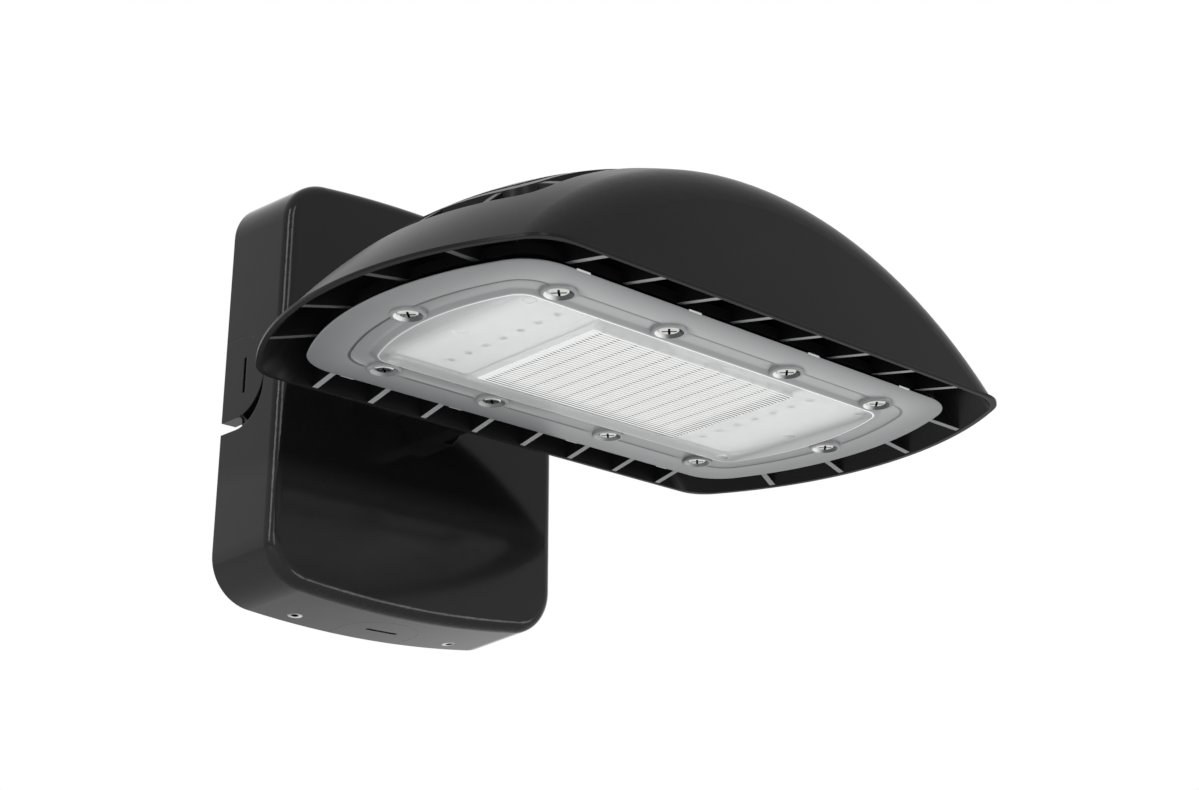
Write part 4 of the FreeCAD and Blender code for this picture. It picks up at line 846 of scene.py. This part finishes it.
# A lug's outline is in mm, and so are its heights above the rim.
LUG_HALF = 3.0
LUG_INWARD = 2.2
LUG_LOW = 0.95
LUG_HIGH = 1.5
LUG_SHIFT = -4.5 * MM
LUG_REACH = 0.3 * MM
LUG_PAINTED_HIGHLIGHT = 0.9
CUT_EDGE = math.radians(40)
LUG_OUTLINE = ((-LUG_HALF, -LUG_INWARD), (LUG_HALF, -LUG_INWARD), (LUG_HALF, LUG_INWARD), (-LUG_HALF, LUG_INWARD))
lug_middle = lens_half_y + LUG_OUT - LUG_INWARD * MM
lug_places = [(x + LUG_SHIFT, math.copysign(lug_middle, y)) for x, y in screw_places if y]
lens_finish = moulded_polycarbonate()
lens_piece = new_piece("lens_moulding", lens, "head", lens_finish, "lens_plate")
combine(lens_piece, prisms(lug_places, LUG_OUTLINE, LUG_LOW, LUG_HIGH), lens_finish, "UNION")
combine(lens_piece, rounds(screw_places, COLLAR_PROFILE), lens_finish, "UNION")
combine(lens_piece, rounds(screw_places, CUP_PROFILE), cup_painted_reflection(), "DIFFERENCE")
combine(lens_piece, rounds(dimple_places, DIMPLE_PROFILE), lens_finish, "DIFFERENCE")


def near_any(spot, places, reach):
    """Whether a point of the lens is within reach of a place, seen from below."""
    return any(math.hypot(spot.x - x, spot.y - lens_middle.y - y) < reach for x, y in places)


lens_kinds = lens_piece.data.attributes["clear"].data
lens_painted_light = lens_piece.data.attributes["painted_light"].data
for vert, kind, painted_light_share in zip(lens_piece.data.vertices, lens_kinds, lens_painted_light):
    if vert.co.z < rim_z + WINDOW_BACK * MM / 2 and near_any(vert.co, dimple_places, DIMPLE_REACH):
        kind.value = FILM
    # Around the collars the painted light is held low.
    if near_any(vert.co, screw_places, COLLAR_REACH):
        painted_light_share.value = COLLAR_PAINTED_LIGHT
    # The lugs' edge gets a painted highlight.
    if abs(vert.co.y - lens_middle.y) > lens_half_y + LUG_REACH:
        painted_light_share.value = LUG_PAINTED_HIGHLIGHT
smooth(lens_piece, CUT_EDGE)

# Lens screws: pan heads with a cross, headed from stainless wire, in the cups of the lens.
# They go through the flange and its seal into bosses of the head casting.
# The rolled heads are bright, and the punched cross is painted dark, as shade.

# Radii, heights above the rim and the sizes of the cross are in mm.
HEAD_RAISED = 0.7
HEAD_SEAT = 2.9
head_top = (screw_high.z - rim_z) / MM
head_face = (screw_low.z - rim_z) / MM - HEAD_RAISED
SCREW_PROFILE = ((2.0, head_top), (2.0, HEAD_SEAT), (4.0, HEAD_SEAT), (4.0, head_face + 0.75),
                 (3.85, head_face + 0.4), (3.5, head_face + 0.15), (2.9, head_face + 0.03), (2.6, head_face))
CROSS_HALF = 2.7
SLOT_HALF = 0.45
CROSS_DEPTH = 0.9
CROSS_TURN = math.pi / 4
CROSS_CORNERS = ((SLOT_HALF, SLOT_HALF), (CROSS_HALF, SLOT_HALF), (CROSS_HALF, -SLOT_HALF))
RECESS_MOTTLE = 0.6 * MM


def cross_outline(turn):
    """A plus sign, turned."""
    points = []
    for quarter in range(4):
        angle = turn - math.pi / 2 * quarter
        for a, b in CROSS_CORNERS:
            points.append((a * math.cos(angle) - b * math.sin(angle), a * math.sin(angle) + b * math.cos(angle)))
    return points


def recess_shade():
    """Dark steel at the bottom of a punched cross, painted as shade in the recess."""
    material, tree, shader, place = new_material("recess_shade", 0.5, 1.0)
    recess_mottle = add_node(tree, "ShaderNodeTexNoise", {"Scale": 1 / RECESS_MOTTLE, "Detail": 3.0}, {"Vector": place})
    dark = add_node(tree, "ShaderNodeMix", {"A": colour("#121213"), "B": colour("#242425")}, {"Factor": recess_mottle},
                    data_type="RGBA")
    gloss = add_node(tree, "ShaderNodeMapRange", {"To Min": 0.4, "To Max": 0.6}, {"Value": recess_mottle})
    feed(tree, shader, {"Base Color": dark, "Roughness": gloss})
    return material


crosses = prisms(screw_places, cross_outline(CROSS_TURN), head_face - CROSS_DEPTH, head_face + CROSS_DEPTH)
screws = new_piece("lens_screw_heads", rounds(screw_places, SCREW_PROFILE), "head", bright_steel,
                   "lens_screws")
combine(screws, crosses, recess_shade(), "DIFFERENCE")
smooth(screws, CUT_EDGE)

# Studio: a pale floor under the light, a white surround, two upright strip lights and a low flat one.
# The floor throws light up at the lens, as a studio table does, and stays out of the picture.
# The surround is white to the camera and in reflections.

FLOOR_DROP = 0.25
FLOOR_HALF = 6.0
PAPER_PATCH = 0.4
SURROUND_LIGHT = 0.8


def studio_paper():
    """Matt white background paper."""
    material, tree, shader, place = new_material("studio_paper", 0.9)
    patches = add_node(tree, "ShaderNodeTexNoise", {"Scale": 1 / PAPER_PATCH, "Detail": 3.0}, {"Vector": place})
    paper = add_node(tree, "ShaderNodeMix", {"A": colour("#f2f2f2"), "B": colour("#f5f5f5")}, {"Factor": patches},
                     data_type="RGBA")
    feed(tree, shader, {"Base Color": paper})
    return material


floor_mesh = bmesh.new()
floor_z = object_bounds()[0][2] - FLOOR_DROP
floor_mesh.faces.new([floor_mesh.verts.new((x, y, floor_z)) for x, y in (
    (-FLOOR_HALF, -FLOOR_HALF), (FLOOR_HALF, -FLOOR_HALF), (FLOOR_HALF, FLOOR_HALF), (-FLOOR_HALF, FLOOR_HALF))])
floor = as_object("studio_floor", floor_mesh, studio_paper())
floor.visible_camera = False

world = bpy.data.worlds.new("white_surround")
world.use_nodes = True
bpy.context.scene.world = world
sky = world.node_tree
sky_light = sky.nodes["Background"]
sky_light.inputs["Color"].default_value = colour("#ffffff")
ray = add_node(sky, "ShaderNodeLightPath")
seen = ray.outputs["Is Camera Ray"]
for kind in ("Is Glossy Ray", "Is Transmission Ray"):
    seen = add_node(sky, "ShaderNodeMath", links={0: seen, 1: ray.outputs[kind]}, operation="MAXIMUM")
white = add_node(sky, "ShaderNodeMapRange", {"To Min": SURROUND_LIGHT, "To Max": 1.0}, {"Value": seen})
feed(sky, sky_light, {"Strength": white})


def soft_box(name, place, target, width, height, watts):
    """A rectangular studio light that faces a target."""
    data = bpy.data.lights.new(name, "AREA")
    data.shape = "RECTANGLE"
    data.size = width
    data.size_y = height
    data.energy = watts
    lamp = bpy.data.objects.new(name, data)
    lamp.location = place
    lamp.rotation_euler = (Vector(target) - Vector(place)).to_track_quat("-Z", "Y").to_euler()
    bpy.context.scene.collection.objects.link(lamp)


HEAD_MIDDLE = (0.0, lens_middle.y, 0.0)
soft_box("left_strip", (-1.75, -0.64, 0.68), HEAD_MIDDLE, width=0.42, height=1.6, watts=16)
soft_box("front_strip", (-0.93, -1.61, 0.68), HEAD_MIDDLE, width=0.42, height=1.6, watts=11)
soft_box("low_strip", (1.0, -1.45, -0.2), HEAD_MIDDLE, width=1.2, height=0.22, watts=5)

# Camera: below the light and to its left, looking up, with a long lens.
# Its place and aim are those of the photograph's view.
# The lens suits a picture of 1199 by 790 pixels, whose size is not set here.

LENS_LENGTH = 57.08
SENSOR_WIDTH = 36.0
CAMERA_PLACE = Vector((-472.5, -675.6, -279.4)) * MM
CAMERA_AIM = Vector((0.63168, 0.69607, 0.34127))
CAMERA_UP = Vector((-0.22976, -0.25235, 0.93996))
camera_right = CAMERA_AIM.cross(CAMERA_UP).normalized()
camera_axes = Matrix((camera_right, CAMERA_UP, -CAMERA_AIM)).transposed().to_4x4()
camera_data = bpy.data.cameras.new("camera")
camera_data.lens = LENS_LENGTH
camera_data.sensor_width = SENSOR_WIDTH
camera = bpy.data.objects.new("camera", camera_data)
camera.matrix_world = Matrix.Translation(CAMERA_PLACE) @ camera_axes
bpy.context.scene.collection.objects.link(camera)
bpy.context.scene.camera = camera
bpy.context.scene.view_settings.view_transform = "Standard"
